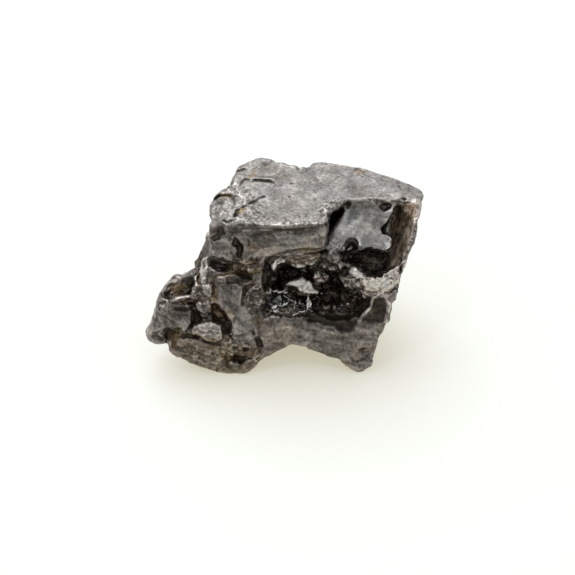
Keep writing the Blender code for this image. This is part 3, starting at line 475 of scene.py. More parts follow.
# %% Raised plates
outline_grey_facet = [(1.36, 3.28), (1.42, 3.62), (1.8, 3.7), (1.88, 3.4), (1.7, 3.22)]
outline_chin = [
    (1.86, 1.68), (2.0, 1.8), (2.19, 1.88), (2.5, 1.88), (2.87, 1.82), (2.88, 1.26), (2.56, 1.18),
    (2.31, 1.22), (1.97, 1.46), (1.84, 1.54)]
outline_chin_left = [
    (1.28, 1.64), (1.6, 1.7), (1.88, 1.74), (1.97, 1.55), (1.88, 1.44), (1.6, 1.46), (1.31, 1.49)]
outline_roof_ledge = [(5.5, 4.02), (5.7, 4.08), (6.0, 4.04), (5.96, 3.92), (5.64, 3.92)]
outline_patch_arm = [(5.16, 3.38), (5.32, 3.4), (5.34, 3.2), (5.3, 2.92), (5.18, 2.92), (5.22, 3.1)]
PLATES = {  # height, softness of the edge, outline
    "cheek": (0.04, 0.12, [
        (0.84, 2.52), (1.1, 2.6), (1.8, 2.44), (1.76, 2.0), (1.7, 1.78), (1.5, 1.64), (0.86, 1.66),
        (0.8, 2.0)]),
    "finger": (0.04, 0.2, [(0.1, 1.5), (0.3, 1.2), (0.7, 1.16), (0.74, 1.8), (0.7, 2.6), (0.4, 2.4)]),
    "crest_ledge": (0.05, 0.07, [
        (0.92, 2.76), (1.1, 2.82), (1.4, 2.88), (1.64, 2.96), (1.62, 2.84), (1.3, 2.72), (0.98, 2.62)]),
    "grey_facet": (0.06, 0.12, outline_grey_facet),
    "fin": (0.08, 0.1, [(2.08, 3.4), (2.06, 3.9), (2.16, 4.3), (2.36, 4.3), (2.4, 3.8), (2.3, 3.4)]),
    "fin_left": (0.07, 0.08, [(1.78, 3.1), (1.8, 3.5), (1.92, 3.66), (1.96, 3.3), (1.92, 3.08)]),
    "flake": (0.1, 0.06, [(2.16, 3.3), (2.52, 3.3), (2.54, 3.0), (2.4, 2.84), (2.24, 2.94), (2.14, 3.1)]),
    "lump": (0.07, 0.08, [(2.02, 2.66), (2.4, 2.64), (2.44, 2.36), (2.2, 2.26), (2.02, 2.4)]),
    "lump_left": (0.05, 0.08, [(1.72, 2.94), (2.04, 2.96), (2.1, 2.76), (1.9, 2.66), (1.7, 2.74)]),
    "lump_low": (0.06, 0.06, [(2.04, 2.24), (2.2, 2.22), (2.28, 2.06), (2.14, 2.02)]),
    "chin": (0.12, 0.05, outline_chin),
    "chin_left": (0.1, 0.06, outline_chin_left),
    "tongue": (0.05, 0.1, [
        (2.76, 3.42), (3.2, 3.46), (3.6, 3.4), (3.64, 3.0), (3.6, 2.6), (3.8, 2.44), (4.02, 2.2),
        (4.02, 1.9), (3.96, 1.6), (4.08, 1.34), (4.2, 1.02), (3.9, 0.88), (3.34, 1.12), (3.28, 1.5),
        (3.26, 1.86), (3.42, 2.02), (3.4, 2.2), (3.06, 2.24), (2.84, 2.46), (2.74, 2.8)]),
    "knob": (0.06, 0.08, [(3.08, 2.18), (3.24, 2.26), (3.36, 2.16), (3.26, 2.02), (3.12, 2.04)]),
    "eyelid": (0.05, 0.1, [
        (2.58, 3.46), (2.7, 3.58), (2.96, 3.62), (3.14, 3.7), (3.4, 3.72), (3.8, 3.68), (4.02, 3.56),
        (3.98, 3.42), (3.84, 3.46), (3.6, 3.34), (3.3, 3.4), (3.0, 3.32), (2.7, 3.3)]),
    "mottled": (0.05, 0.14, [(3.88, 3.2), (4.3, 3.2), (4.34, 2.7), (4.2, 2.3), (3.9, 2.7)]),
    "sole_slab": (0.05, 0.12, [
        (1.2, 1.26), (1.6, 1.32), (2.2, 1.14), (2.8, 0.96), (2.9, 0.4), (2.2, 0.3), (1.2, 0.7)]),
    "sole_island": (0.1, 0.07, [(3.16, 0.44), (3.42, 0.46), (3.56, 0.34), (3.4, 0.2), (3.2, 0.22)]),
    "roof_ledge": (0.08, 0.07, outline_roof_ledge),
    "curl": (0.12, 0.07, [(6.3, 3.56), (6.42, 3.74), (6.7, 3.72), (6.9, 3.52), (6.76, 3.48), (6.6, 3.6)]),
    "curl_foot": (0.09, 0.07, [(6.24, 3.3), (6.4, 3.46), (6.62, 3.34), (6.5, 3.22)]),
    "ridge_knob": (0.12, 0.08, [
        (7.66, 3.76), (7.72, 3.98), (7.92, 3.96), (8.12, 3.74), (8.0, 3.6), (7.8, 3.62)]),
    "side_ground": (0.15, 0.14, [
        (3.44, 4.02), (3.7, 4.26), (4.44, 4.28), (4.42, 3.88), (4.1, 3.74), (3.66, 3.8)]),
    "plate_foot": (0.14, 0.08, [(6.86, 4.28), (7.26, 4.24), (7.36, 4.4), (7.1, 4.66), (6.88, 4.6)]),
    "hollow_ledge": (0.08, 0.08, [
        (6.44, 2.44), (6.7, 2.58), (7.2, 2.54), (7.7, 2.62), (8.1, 2.66), (8.0, 2.5), (7.2, 2.42)]),
    "crest_floor": (0.16, 0.12, [
        (1.0, 2.9), (1.1, 3.1), (1.5, 3.2), (1.84, 3.32), (1.8, 3.0), (1.5, 2.86)]),
    "slab_edge": (0.05, 0.06, [
        (1.16, 1.24), (1.24, 1.34), (1.8, 1.28), (2.4, 1.12), (2.9, 1.02), (2.84, 0.94), (2.3, 1.02),
        (1.7, 1.18)]),
    "patch_arm": (0.12, 0.04, outline_patch_arm),
}

for height, soft, outline in PLATES.values():
    skin.lift(skin.mark(outline, soft=soft), height)
skin.look_again()
print(len(PLATES), "raised plates")

# %% [markdown]
# ## The nugget's skin: streaks
# Where the metal was drawn out as it tore or wore, as on the wall of the right hollow, it has
# streaks. They are noise that is long one way and short the other.

# %% Streaks
outline_sole = [(1.1, 1.3), (2.9, 1.0), (4.2, 0.9), (4.2, 0.2), (2.6, 0.0), (1.1, 0.7)]
STREAKS = {  # height, heading in degrees, width and length of a streak, outline
    "wall": (0.07, 74, 0.16, 0.5, [
        (9.3, 6.4), (10.3, 6.3), (10.0, 5.0), (9.5, 3.9), (9.0, 4.2), (9.2, 5.0), (9.3, 5.6)]),
    "fin": (0.05, 80, 0.09, 0.6, [(1.7, 3.0), (1.8, 4.2), (2.1, 5.2), (2.5, 5.2), (2.6, 4.0), (2.5, 3.3)]),
    "ledge": (0.07, -22, 0.1, 0.6, [
        (7.0, 3.7), (7.5, 3.8), (8.2, 3.5), (8.4, 3.0), (7.8, 2.9), (7.0, 3.3)]),
    "ridge": (0.04, -15, 0.1, 0.35, [(7.7, 4.0), (8.3, 3.6), (9.4, 3.9), (9.5, 3.1), (8.3, 2.9)]),
    "cheek": (0.04, 2, 0.11, 0.6, [(0.9, 2.5), (1.8, 2.5), (1.8, 2.1), (0.9, 2.1)]),
    "brow": (0.014, 6, 0.12, 0.8, outline_brow),
    "bridge": (0.01, -12, 0.11, 0.7, outline_bridge),
    "sole": (0.03, -16, 0.08, 0.4, outline_sole),
    "plate": (0.014, 62, 0.22, 0.9, outline_plate),
    "sole_fine": (0.012, -16, 0.04, 0.25, outline_sole),
    "tongue": (0.01, -55, 0.07, 0.35, outline_tongue),
    "wall_fine": (0.04, 60, 0.08, 0.3, [(9.3, 6.4), (10.3, 6.3), (10.0, 5.0), (9.5, 3.9), (9.2, 4.4)]),
}

for number, (height, heading, width, length, outline) in enumerate(STREAKS.values()):
    streak = skin.streaks(heading, width, length, 10.0 + number)
    skin.lift(skin.mark(outline, soft=0.2) * streak, height)
skin.look_again()
print(len(STREAKS), "streaked places")

# %% [markdown]
# ## The nugget's skin: cracks and lips
# Each crack is a line of places with a width and a depth. A worn metal edge often folds over a
# little beside a crack, so some cracks get a raised lip. The lines are short, because a real
# crack in a nugget wanders from pit to pit and dies out.

# %% Cracks, grooves and lips
LIP_EDGE, CRACK_EDGE = 0.09, 0.06  # softness of the edge
CRACKS = {  # width, depth, line
    # the top's left end: a block set off by a groove, and cracks that curl round it
    "block_groove": (0.028, 0.14, [
        (2.44, 5.8), (2.47, 6.12), (2.55, 6.42), (2.72, 6.62), (3.0, 6.68), (3.22, 6.6), (3.38, 6.4)]),
    "block_foot": (0.04, 0.09, [(2.98, 5.68), (3.12, 5.62), (3.26, 5.7)]),
    "shoulder_pit": (0.026, 0.1, [(3.14, 6.96), (3.4, 6.9)]),
    "upper_pit": (0.028, 0.1, [(3.46, 7.6), (3.72, 7.66)]),
    "arc": (0.024, 0.12, [(3.58, 7.03), (3.61, 7.14), (3.68, 7.24), (3.78, 7.29), (3.88, 7.25)]),
    "long_lip": (0.026, 0.13, [(4.05, 7.25), (4.35, 7.22), (4.62, 7.2), (4.86, 7.13)]),
    "long_lip_bit": (0.018, 0.06, [(4.62, 7.38), (4.76, 7.38)]),
    "top_dash": (0.017, 0.04, [(4.02, 7.64), (4.12, 7.74)]),
    "corner_crack": (0.026, 0.12, [
        (3.36, 5.84), (3.46, 6.0), (3.5, 6.1), (3.66, 6.19), (3.84, 6.27), (3.96, 6.37), (4.16, 6.43),
        (4.3, 6.56), (4.48, 6.6)]),
    "corner_gap": (0.05, 0.12, [(3.4, 5.92), (3.44, 6.08)]),
    "block_dent": (0.022, 0.04, [(3.02, 5.93), (3.12, 5.92)]),
    "block_dent_two": (0.022, 0.04, [(2.86, 6.34), (2.98, 6.36)]),
    # the worn top
    "top_row": (0.014, 0.016, [(5.02, 6.74), (5.3, 6.72), (5.56, 6.74), (5.92, 6.72)]),
    "top_edge_bits": (0.03, 0.07, [(7.88, 7.66), (8.04, 7.66), (8.24, 7.55)]),
    "nose_bits": (0.025, 0.06, [(9.9, 7.05), (10.06, 6.98), (10.08, 6.92)]),
    "nose_dents": (0.025, 0.05, [(9.54, 7.02), (9.6, 6.88)]),
    # under the top's front edge
    "brow_undercut": (0.04, 0.06, [(3.5, 5.4), (4.3, 5.42), (5.0, 5.36), (5.8, 5.4), (6.4, 5.46)]),
    "brow_bits": (0.03, 0.08, [(3.86, 5.02), (3.92, 4.9), (3.9, 4.8)]),
    "brow_fold": (0.017, 0.016, [(4.1, 5.16), (4.4, 5.24), (4.7, 5.22)]),
    "brow_fold_low": (0.017, 0.016, [(4.4, 4.72), (4.8, 4.8), (5.2, 4.76)]),
    "brow_dent": (0.033, 0.024, [(5.06, 4.82), (5.3, 4.8)]),
    "right_crack": (0.026, 0.14, [(6.86, 5.1), (6.82, 4.92), (6.76, 4.74)]),
    "brow_foot": (0.022, 0.096, [
        (4.46, 3.86), (4.54, 4.12), (4.74, 4.34), (5.06, 4.5), (5.5, 4.58), (6.0, 4.66), (6.6, 4.62)]),
    # round the right hollow
    "lip_bits": (0.02, 0.09, [(7.72, 6.42), (7.9, 6.46), (8.02, 6.38), (8.12, 6.34)]),
    "lip_bits_right": (0.02, 0.09, [(8.6, 6.46), (8.72, 6.36), (8.84, 6.42), (9.0, 6.36)]),
    "lip_hole": (0.03, 0.12, [(9.66, 6.53), (9.76, 6.5)]),
    "lip_under": (0.022, 0.064, [(9.3, 6.42), (9.8, 6.38), (10.2, 6.36)]),
    "plate_dot": (0.022, 0.07, [(7.06, 5.1), (7.09, 5.06)]),
    "plate_gash": (0.017, 0.072, [(8.76, 5.12), (8.88, 5.2), (8.92, 5.24)]),
    "wall_cross": (0.017, 0.04, [(9.6, 6.05), (9.8, 5.98), (9.98, 6.04)]),
    "rim_line": (0.012, 0.05, [(10.12, 5.6), (10.04, 5.2), (9.86, 4.72), (9.64, 4.1)]),
    # the bright ridge and the leg
    "ridge_crack": (0.017, 0.064, [(7.24, 3.52), (7.5, 3.36), (7.9, 3.26), (8.16, 3.1)]),
    "ridge_fork": (0.017, 0.056, [(9.24, 3.6), (9.32, 3.4), (9.36, 3.16), (9.3, 2.92)]),
    "leg_top": (0.017, 0.048, [(7.8, 2.94), (8.0, 2.84), (8.3, 2.9)]),
    "leg_groove": (0.017, 0.04, [(8.7, 1.6), (8.8, 1.52), (8.86, 1.62)]),
    # the left lobe
    "cheek_line": (0.019, 0.056, [(1.08, 2.6), (1.3, 2.56), (1.56, 2.46), (1.8, 2.42)]),
    "cheek_line_low": (0.017, 0.04, [(1.06, 2.4), (1.3, 2.34), (1.6, 2.32)]),
    "cheek_foot": (0.022, 0.08, [(0.86, 1.54), (1.2, 1.5), (1.5, 1.56), (1.78, 1.72)]),
    "crest_crack": (0.017, 0.064, [(0.62, 2.86), (0.76, 3.02), (0.88, 3.2), (1.0, 3.34)]),
    "crest_crack_two": (0.014, 0.048, [(0.58, 2.74), (0.7, 2.8), (0.8, 2.92)]),
    "fin_edge": (0.017, 0.08, [(2.06, 4.1), (2.02, 3.9), (1.92, 3.7), (1.8, 3.5), (1.76, 3.2)]),
    "fin_split": (0.017, 0.064, [(2.24, 4.2), (2.22, 3.9), (2.16, 3.6), (2.18, 3.34)]),
    "flake_edge": (0.019, 0.08, [(2.58, 3.3), (2.56, 3.0), (2.44, 2.82), (2.44, 2.62), (2.54, 2.44)]),
    "flake_left": (0.017, 0.064, [(2.1, 3.14), (2.22, 2.98), (2.34, 2.84)]),
    "tongue_right": (0.026, 0.12, [(3.78, 3.28), (3.72, 3.02), (3.66, 2.76), (3.62, 2.56)]),
    "tongue_top": (0.019, 0.06, [(3.46, 3.32), (3.66, 3.25), (3.86, 3.26)]),
    "eyelid_top": (0.017, 0.06, [(2.56, 3.6), (2.8, 3.67), (3.04, 3.7), (3.2, 3.79), (3.5, 3.84)]),
    "mottle_crack": (0.017, 0.056, [(3.96, 2.8), (4.06, 2.62), (4.04, 2.44), (4.16, 2.3)]),
    "mottle_crack_two": (0.017, 0.056, [(4.24, 3.0), (4.22, 2.76), (4.3, 2.56)]),
    "tongue_foot": (0.017, 0.056, [(3.24, 1.46), (3.44, 1.42), (3.64, 1.44)]),
    "tongue_crack": (0.019, 0.072, [(3.94, 1.6), (4.08, 1.54), (4.16, 1.36), (4.22, 1.2)]),
    "chin_foot": (0.019, 0.072, [(1.4, 1.4), (1.8, 1.34), (2.1, 1.26), (2.4, 1.12), (2.8, 1.02)]),
    "sole_lines": (0.014, 0.04, [(1.5, 1.14), (1.9, 1.04), (2.3, 0.96), (2.6, 0.86)]),
    "sole_line_low": (0.014, 0.032, [(1.8, 0.84), (2.1, 0.72), (2.44, 0.64)]),
    "sole_line_right": (0.014, 0.04, [(3.3, 0.34), (3.44, 0.24), (3.4, 0.14)]),
    "lobe_crumbs": (0.017, 0.056, [(3.0, 1.3), (3.14, 1.2), (3.3, 1.26)]),
    "lobe_crumbs_low": (0.017, 0.056, [(3.0, 0.98), (3.16, 0.9), (3.36, 0.96)]),
    "bridge_pock": (0.017, 0.024, [(4.84, 1.72), (4.9, 1.58)]),
    "cheek_fold": (0.03, 0.06, [(1.08, 2.42), (1.4, 2.4), (1.7, 2.38), (1.86, 2.36)]),
    "cheek_fold_low": (0.016, 0.04, [(1.1, 2.2), (1.4, 2.22), (1.66, 2.14)]),
    "block_row": (0.016, 0.04, [(2.8, 6.12), (3.0, 6.2), (3.16, 6.18)]),
    "rough_corner": (0.016, 0.05, [(3.62, 6.5), (3.8, 6.6), (4.0, 6.62)]),
    "rough_corner_two": (0.016, 0.05, [(3.9, 6.7), (4.06, 6.58), (4.12, 6.48)]),
    "top_dot": (0.02, 0.05, [(4.08, 5.96), (4.2, 5.92)]),
    "top_dot_two": (0.02, 0.04, [(4.98, 5.86), (5.02, 5.8)]),
    "brow_diagonal": (0.016, 0.05, [(6.26, 5.42), (6.44, 5.28), (6.56, 5.12)]),
    "brow_tick": (0.016, 0.04, [(5.82, 5.24), (5.96, 5.34)]),
    "brow_line": (0.014, 0.03, [(4.1, 5.02), (4.4, 5.08), (4.76, 5.0)]),
    "under_fold": (0.018, 0.04, [(3.22, 5.27), (3.5, 5.25), (3.9, 5.28)]),
    "bridge_line": (0.022, 0.04, [(4.85, 1.84), (4.83, 1.66), (4.88, 1.46)]),
    "sole_line_top": (0.014, 0.04, [(1.3, 1.06), (1.6, 1.0), (1.96, 0.92)]),
    "sole_line_mid": (0.014, 0.035, [(2.2, 0.84), (2.5, 0.74), (2.72, 0.7)]),
    "sole_line_left": (0.014, 0.035, [(1.24, 0.86), (1.5, 0.78), (1.7, 0.76)]),
    "cheek_fold_right": (0.016, 0.04, [(1.5, 2.06), (1.62, 1.9), (1.7, 1.8)]),
    "eyelid_line": (0.025, 0.07, [(3.11, 3.39), (3.42, 3.36), (3.68, 3.45), (3.89, 3.45)]),
}
LIPS = {  # width, height, line
    "block_rim": (0.035, 0.024, [(2.66, 6.52), (2.9, 6.56), (3.12, 6.54)]),
    "long_lip_rim": (0.028, 0.045, [(4.05, 7.3), (4.4, 7.29), (4.84, 7.28)]),
    "front_lip": (0.04, 0.01, [(3.4, 5.58), (4.2, 5.54), (5.0, 5.52), (5.8, 5.56), (6.5, 5.62)]),
    "hollow_lip": (0.035, 0.025, [(7.6, 6.5), (8.2, 6.55), (9.0, 6.53), (9.9, 6.53)]),
    "tongue_side": (0.035, 0.018, [(2.86, 3.1), (2.84, 2.8), (2.92, 2.5)]),
    "eyelid_edge": (0.026, 0.03, [(2.62, 3.5), (2.8, 3.6), (3.0, 3.6), (3.12, 3.68), (3.3, 3.72)]),
    "hollow_edge": (0.03, 0.03, [(4.28, 3.9), (4.32, 3.6), (4.26, 3.44)]),
    "rim": (0.02, 0.03, [(10.08, 5.6), (9.99, 5.2), (9.8, 4.72), (9.58, 4.1)]),
    "leg_rim": (0.024, 0.035, [
        (8.04, 1.98), (8.24, 2.28), (8.48, 2.5), (8.53, 2.78), (8.7, 2.91), (8.98, 2.87)]),
    "leg_rim_right": (0.024, 0.025, [(8.98, 2.87), (9.13, 2.62), (9.12, 2.2), (9.02, 1.86)]),
    "crest_rim": (0.03, 0.03, [(0.56, 2.96), (0.72, 3.16), (0.9, 3.42)]),
    "cheek_rim": (0.025, 0.022, [(0.96, 2.7), (1.14, 2.66), (1.34, 2.74)]),
    "fin_rim": (0.035, 0.03, [(2.3, 4.3), (2.3, 3.9), (2.28, 3.6), (2.34, 3.2)]),
    "fin_rim_left": (0.028, 0.024, [(2.0, 3.7), (1.88, 3.5), (1.88, 3.16)]),
    "brow_ledge": (0.025, 0.03, [(2.6, 3.84), (2.74, 3.9), (2.88, 3.96)]),
    "eyelid_low": (0.02, 0.02, [(3.6, 3.35), (3.74, 3.4), (3.86, 3.46)]),
    "brow_ridge": (0.04, 0.03, [(3.04, 5.46), (3.1, 5.16), (3.2, 4.86), (3.38, 4.56)]),
    "brow_top_fold": (0.02, 0.03, [(4.09, 5.42), (3.8, 5.32), (3.55, 5.24)]),
}

for width, height, path in LIPS.values():
    skin.lift(skin.mark(path, width, LIP_EDGE), height)
skin.look_again()
for width, depth, path in CRACKS.values():
    skin.dig(skin.mark(path, width, CRACK_EDGE), depth)
skin.look_again()
print(len(CRACKS), "cracks and", len(LIPS), "lips")

# %% [markdown]
# ## The nugget's skin: pits
# Pits and gaps are outlines with a depth. Their floors are flat and their walls steep, and the
# wandering edge keeps two of them from looking alike. The deepest ones lie in the middle hollow
# and under the plate in the right hollow, where the metal grew round crystals now lost.

# %% Pits and gaps
outline_block_gap = [
    (2.66, 6.56), (2.74, 6.68), (2.96, 6.72), (3.2, 6.7), (3.36, 6.56), (3.18, 6.62), (2.9, 6.62)]
outline_spur_gap = [
    (8.52, 6.46), (8.72, 6.44), (9.3, 6.44), (9.28, 6.32), (9.05, 6.28), (8.92, 6.1), (8.84, 6.2),
    (8.66, 6.34)]
outline_leg_oval = [
    (8.58, 2.74), (8.76, 2.82), (8.96, 2.78), (9.06, 2.55), (9.04, 2.2), (8.96, 1.98), (8.7, 1.9),
    (8.36, 1.94), (8.14, 2.04), (8.3, 2.2), (8.5, 2.42)]
outline_sole_nick = [(2.98, 0.44), (3.08, 0.46), (3.14, 0.3), (3.24, 0.2), (3.14, 0.14), (3.02, 0.28)]
outline_bridge_hole = [
    (4.02, 1.58), (4.14, 1.5), (4.22, 1.34), (4.38, 1.22), (4.44, 1.04), (4.36, 0.96), (4.24, 1.04),
    (4.16, 1.2), (4.04, 1.4)]
outline_low_gap = [(3.58, 0.9), (3.66, 0.98), (3.8, 0.94), (3.94, 0.84), (3.74, 0.8)]
outline_foot_pock = [(8.04, 0.82), (8.16, 0.92), (8.3, 0.94), (8.4, 0.8), (8.28, 0.74), (8.12, 0.76)]
outline_foot_pock_low = [
    (7.7, 0.6), (7.9, 0.52), (8.2, 0.6), (8.34, 0.66), (8.3, 0.56), (7.96, 0.4), (7.74, 0.46)]
outline_finger_pit = [
    (0.4, 1.42), (0.5, 1.44), (0.62, 1.34), (0.74, 1.42), (0.8, 1.56), (0.9, 1.52), (0.84, 1.3),
    (0.66, 1.22), (0.5, 1.28)]
PITS = {  # depth, softness of the edge, outline
    # top and brow
    "block_gap": (0.12, 0.06, outline_block_gap),
    "brow_pit": (0.15, 0.12, [
        (2.46, 5.02), (2.56, 5.2), (2.7, 5.22), (2.76, 5.36), (2.9, 5.48), (2.98, 5.4), (3.0, 5.24),
        (2.86, 5.14), (2.76, 5.0), (2.6, 4.95)]),
    "side_crevice": (0.12, 0.08, [
        (2.36, 4.3), (2.6, 4.16), (2.9, 4.06), (2.96, 3.94), (2.7, 3.96), (2.44, 4.1)]),
    "nose_dent": (0.04, 0.06, [(9.5, 7.12), (9.58, 7.18), (9.56, 7.08)]),
    "edge_pock": (0.08, 0.05, [(7.14, 6.34), (7.22, 6.4), (7.28, 6.32), (7.2, 6.26)]),
    "edge_pock_two": (0.08, 0.05, [(6.56, 6.06), (6.66, 6.14), (6.72, 6.06), (6.64, 6.0)]),
    "edge_pock_three": (0.08, 0.05, [(6.58, 5.92), (6.66, 5.98), (6.7, 5.9), (6.62, 5.84)]),
    "edge_pock_four": (0.09, 0.05, [(6.84, 6.14), (6.92, 6.18), (7.0, 6.1), (6.92, 6.06)]),
    # right hollow
    "corner_crevice": (0.28, 0.07, [
        (6.91, 5.38), (6.88, 5.88), (7.08, 6.03), (7.46, 6.17), (7.34, 5.88), (7.06, 5.54)]),
    "lip_gap": (0.1, 0.08, [(7.54, 6.2), (7.62, 6.42), (7.72, 6.34), (7.62, 6.16)]),
    "spur_gap": (0.05, 0.05, outline_spur_gap),
    "notch": (0.2, 0.07, [
        (7.46, 4.76), (7.52, 4.94), (7.66, 5.04), (7.86, 5.02), (7.96, 4.84), (7.98, 4.62), (7.6, 4.6)]),
    "dark_pit": (0.3, 0.12, [
        (7.28, 4.5), (7.9, 4.5), (8.3, 4.7), (8.7, 4.62), (9.1, 4.5), (9.16, 4.1), (9.02, 3.8), (8.7, 3.62),
        (8.3, 3.66), (8.05, 3.92), (7.7, 4.12), (7.4, 4.18)]),
    "neck_dark": (0.15, 0.12, [
        (6.62, 4.28), (7.16, 4.18), (7.24, 4.02), (7.58, 4.0), (7.5, 3.7), (7.1, 3.62), (6.8, 3.7),
        (6.5, 4.0)]),
    # middle hollow
    "hole_under_roof": (0.26, 0.1, [
        (5.14, 3.96), (5.4, 4.0), (5.66, 3.9), (5.86, 3.74), (5.8, 3.6), (5.5, 3.54), (5.2, 3.6)]),
    "hole_left": (0.24, 0.09, [
        (4.44, 3.96), (4.62, 4.1), (4.72, 3.86), (5.16, 3.62), (5.28, 3.3), (5.16, 3.12), (4.5, 3.04),
        (4.38, 3.2), (4.37, 3.56)]),
    "hole_small": (0.16, 0.04, [
        (5.32, 3.1), (5.39, 3.21), (5.56, 3.24), (5.7, 3.19), (5.74, 3.06), (5.65, 2.96), (5.43, 2.95)]),
    "hole_right": (0.2, 0.12, [
        (6.54, 3.3), (6.9, 3.4), (7.3, 3.3), (7.7, 3.1), (7.74, 2.7), (7.2, 2.54), (6.74, 2.62),
        (6.56, 2.9)]),
    "hole_curl": (0.12, 0.05, [(6.05, 3.36), (6.14, 3.42), (6.27, 3.34), (6.22, 3.25), (6.1, 3.27)]),
    "leg_oval": (0.05, 0.09, outline_leg_oval),
    # left lobe
    "cheek_gap": (0.16, 0.07, [
        (1.76, 2.5), (1.9, 2.46), (2.0, 2.2), (2.1, 2.02), (1.98, 1.9), (1.76, 1.8), (1.72, 2.0)]),
    "waist_gap": (0.1, 0.07, [
        (2.5, 2.56), (2.72, 2.56), (2.84, 2.3), (3.0, 2.08), (3.24, 1.94), (3.26, 1.72), (3.1, 1.72),
        (2.9, 1.84), (2.6, 1.96), (2.5, 2.2)]),
    "finger_gap": (0.04, 0.08, [
        (0.8, 1.68), (0.92, 1.6), (1.14, 1.4), (1.18, 1.1), (1.02, 0.9), (0.96, 1.04), (0.84, 1.2),
        (0.8, 1.45)]),
    "crest_hollow": (0.05, 0.1, [
        (0.96, 3.1), (1.0, 3.26), (1.2, 3.36), (1.26, 3.5), (1.5, 3.46), (1.56, 3.3), (1.7, 3.2),
        (1.56, 3.0), (1.3, 2.96), (1.1, 2.9)]),
    "crest_pit": (0.07, 0.07, [(0.57, 2.62), (0.66, 2.72), (0.82, 2.68), (0.8, 2.56), (0.64, 2.54)]),
    "chin_gap": (0.13, 0.08, [
        (2.9, 1.66), (3.02, 1.7), (3.08, 1.5), (3.2, 1.4), (3.16, 1.26), (2.94, 1.26)]),
    "olive_pit": (0.05, 0.08, [(2.72, 0.94), (2.92, 0.98), (2.96, 0.8), (2.76, 0.78)]),
    "sole_pit": (0.14, 0.08, [
        (2.96, 0.64), (3.1, 0.72), (3.3, 0.64), (3.6, 0.62), (3.8, 0.6), (4.0, 0.52), (3.8, 0.48),
        (3.56, 0.36), (3.3, 0.44), (3.14, 0.4), (3.0, 0.5)]),
    "sole_nick": (0.06, 0.05, outline_sole_nick),
    "bridge_hole": (0.15, 0.05, outline_bridge_hole),
    "low_gap": (0.06, 0.06, outline_low_gap),
    "tongue_gap": (0.09, 0.08, [
        (3.72, 3.18), (3.86, 3.2), (3.8, 2.9), (3.76, 2.62), (3.66, 2.52), (3.68, 2.9)]),
    "fin_slot": (0.12, 0.06, [(1.95, 3.62), (2.06, 3.7), (2.13, 3.5), (2.06, 3.3), (1.97, 3.32)]),
    "brow_slot": (0.13, 0.07, [
        (3.34, 5.06), (3.44, 5.06), (3.56, 4.9), (3.66, 4.76), (3.68, 4.58), (3.64, 4.38), (3.54, 4.32),
        (3.47, 4.44), (3.49, 4.6), (3.44, 4.72), (3.3, 4.74), (3.26, 4.86), (3.36, 4.94)]),
    "under_brow": (0.08, 0.1, [
        (2.98, 4.04), (3.4, 4.04), (3.8, 3.96), (3.86, 3.8), (3.4, 3.78), (3.0, 3.86)]),
    "hollow_right": (0.1, 0.08, [
        (7.9, 2.8), (8.4, 2.72), (8.42, 2.56), (8.2, 2.34), (8.0, 2.08), (7.8, 2.2)]),
    "ramp": (0.035, 0.06, [
        (6.0, 1.92), (6.5, 1.8), (7.0, 1.7), (7.4, 1.5), (7.88, 1.56), (7.96, 1.92), (7.8, 2.2),
        (6.4, 2.2)]),
    "foot_pock": (0.05, 0.07, outline_foot_pock),
    "foot_pock_low": (0.04, 0.07, outline_foot_pock_low),
    "finger_pit": (0.05, 0.08, outline_finger_pit),
    "crest_black": (0.12, 0.05, [(0.7, 2.78), (0.78, 2.98), (0.96, 3.06), (0.98, 2.86), (0.88, 2.76)]),
    "under_ledge": (0.13, 0.05, [(1.36, 2.7), (1.66, 2.8), (1.96, 2.72), (1.9, 2.5), (1.5, 2.5)]),
}

for depth, soft, outline in PITS.values():
    skin.dig(skin.mark(outline, soft=soft), depth)
skin.look_again()
print(len(PITS), "pits")

# %% [markdown]
# ## The nugget's skin: leaning faces
# Deep in the hollows stand a few small flat faces that catch the light, because they lean back
# towards it. Lifting a rough place would keep it rough, so each of these is set into one plane,
# brought forward or sunk, and tilted. Its rim goes with it, so that no wall is left round it.

# %% Leaning faces
outline_pale_patch = [
    (5.25, 3.37), (5.59, 3.49), (5.89, 3.6), (6.0, 3.56), (6.15, 3.45), (6.3, 3.26), (6.49, 3.08),
    (6.71, 3.0), (6.68, 2.95), (6.34, 2.96), (6.04, 3.02), (5.78, 3.06), (5.72, 3.18), (5.66, 3.25),
    (5.5, 3.28), (5.28, 3.28)]
outline_roof_lump = [
    (4.75, 4.03), (4.77, 3.85), (4.86, 3.85), (4.99, 4.03), (5.26, 4.2), (5.3, 4.31), (5.08, 4.36),
    (4.86, 4.25)]
outline_pale_column = [(6.08, 2.34), (6.06, 2.55), (6.11, 2.78), (6.25, 2.78), (6.23, 2.55), (6.3, 2.34)]
outline_notch_floor = [(7.56, 4.6), (7.58, 4.72), (7.7, 4.8), (7.8, 4.74), (7.8, 4.6)]
LEANING = {  # how far forward, leaning back by this for each millimetre up, softness, outline
    "pale_patch": (0.55, 0.15, 0.04, outline_pale_patch),
    "roof_lump": (0.25, 0.2, 0.05, outline_roof_lump),
    "pale_column": (0.65, 0.0, 0.04, outline_pale_column),
    "waist_floor": (0.05, 0.0, 0.06, [
        (2.5, 2.54), (2.68, 2.56), (2.86, 2.3), (2.92, 2.1), (2.72, 2.02), (2.56, 2.2)]),
    "notch_floor": (0.55, 0.0, 0.05, outline_notch_floor),
    "curl": (0.2, 0.1, 0.05, [
        (6.53, 3.62), (6.6, 3.74), (6.8, 3.72), (6.93, 3.56), (6.9, 3.46), (6.74, 3.5)]),
    "crest_cavity": (-0.04, -0.1, 0.1, [
        (0.99, 2.92), (1.24, 3.46), (1.43, 3.6), (1.82, 3.58), (1.86, 3.33), (1.71, 3.02), (1.43, 2.9)]),
}

for forward, rise, soft, outline in LEANING.values():
    skin.lean(skin.mark(outline, soft=soft, where=skin.edge), forward, rise)
skin.look_again()
skin.relax(1)
print(len(LEANING), "leaning faces")

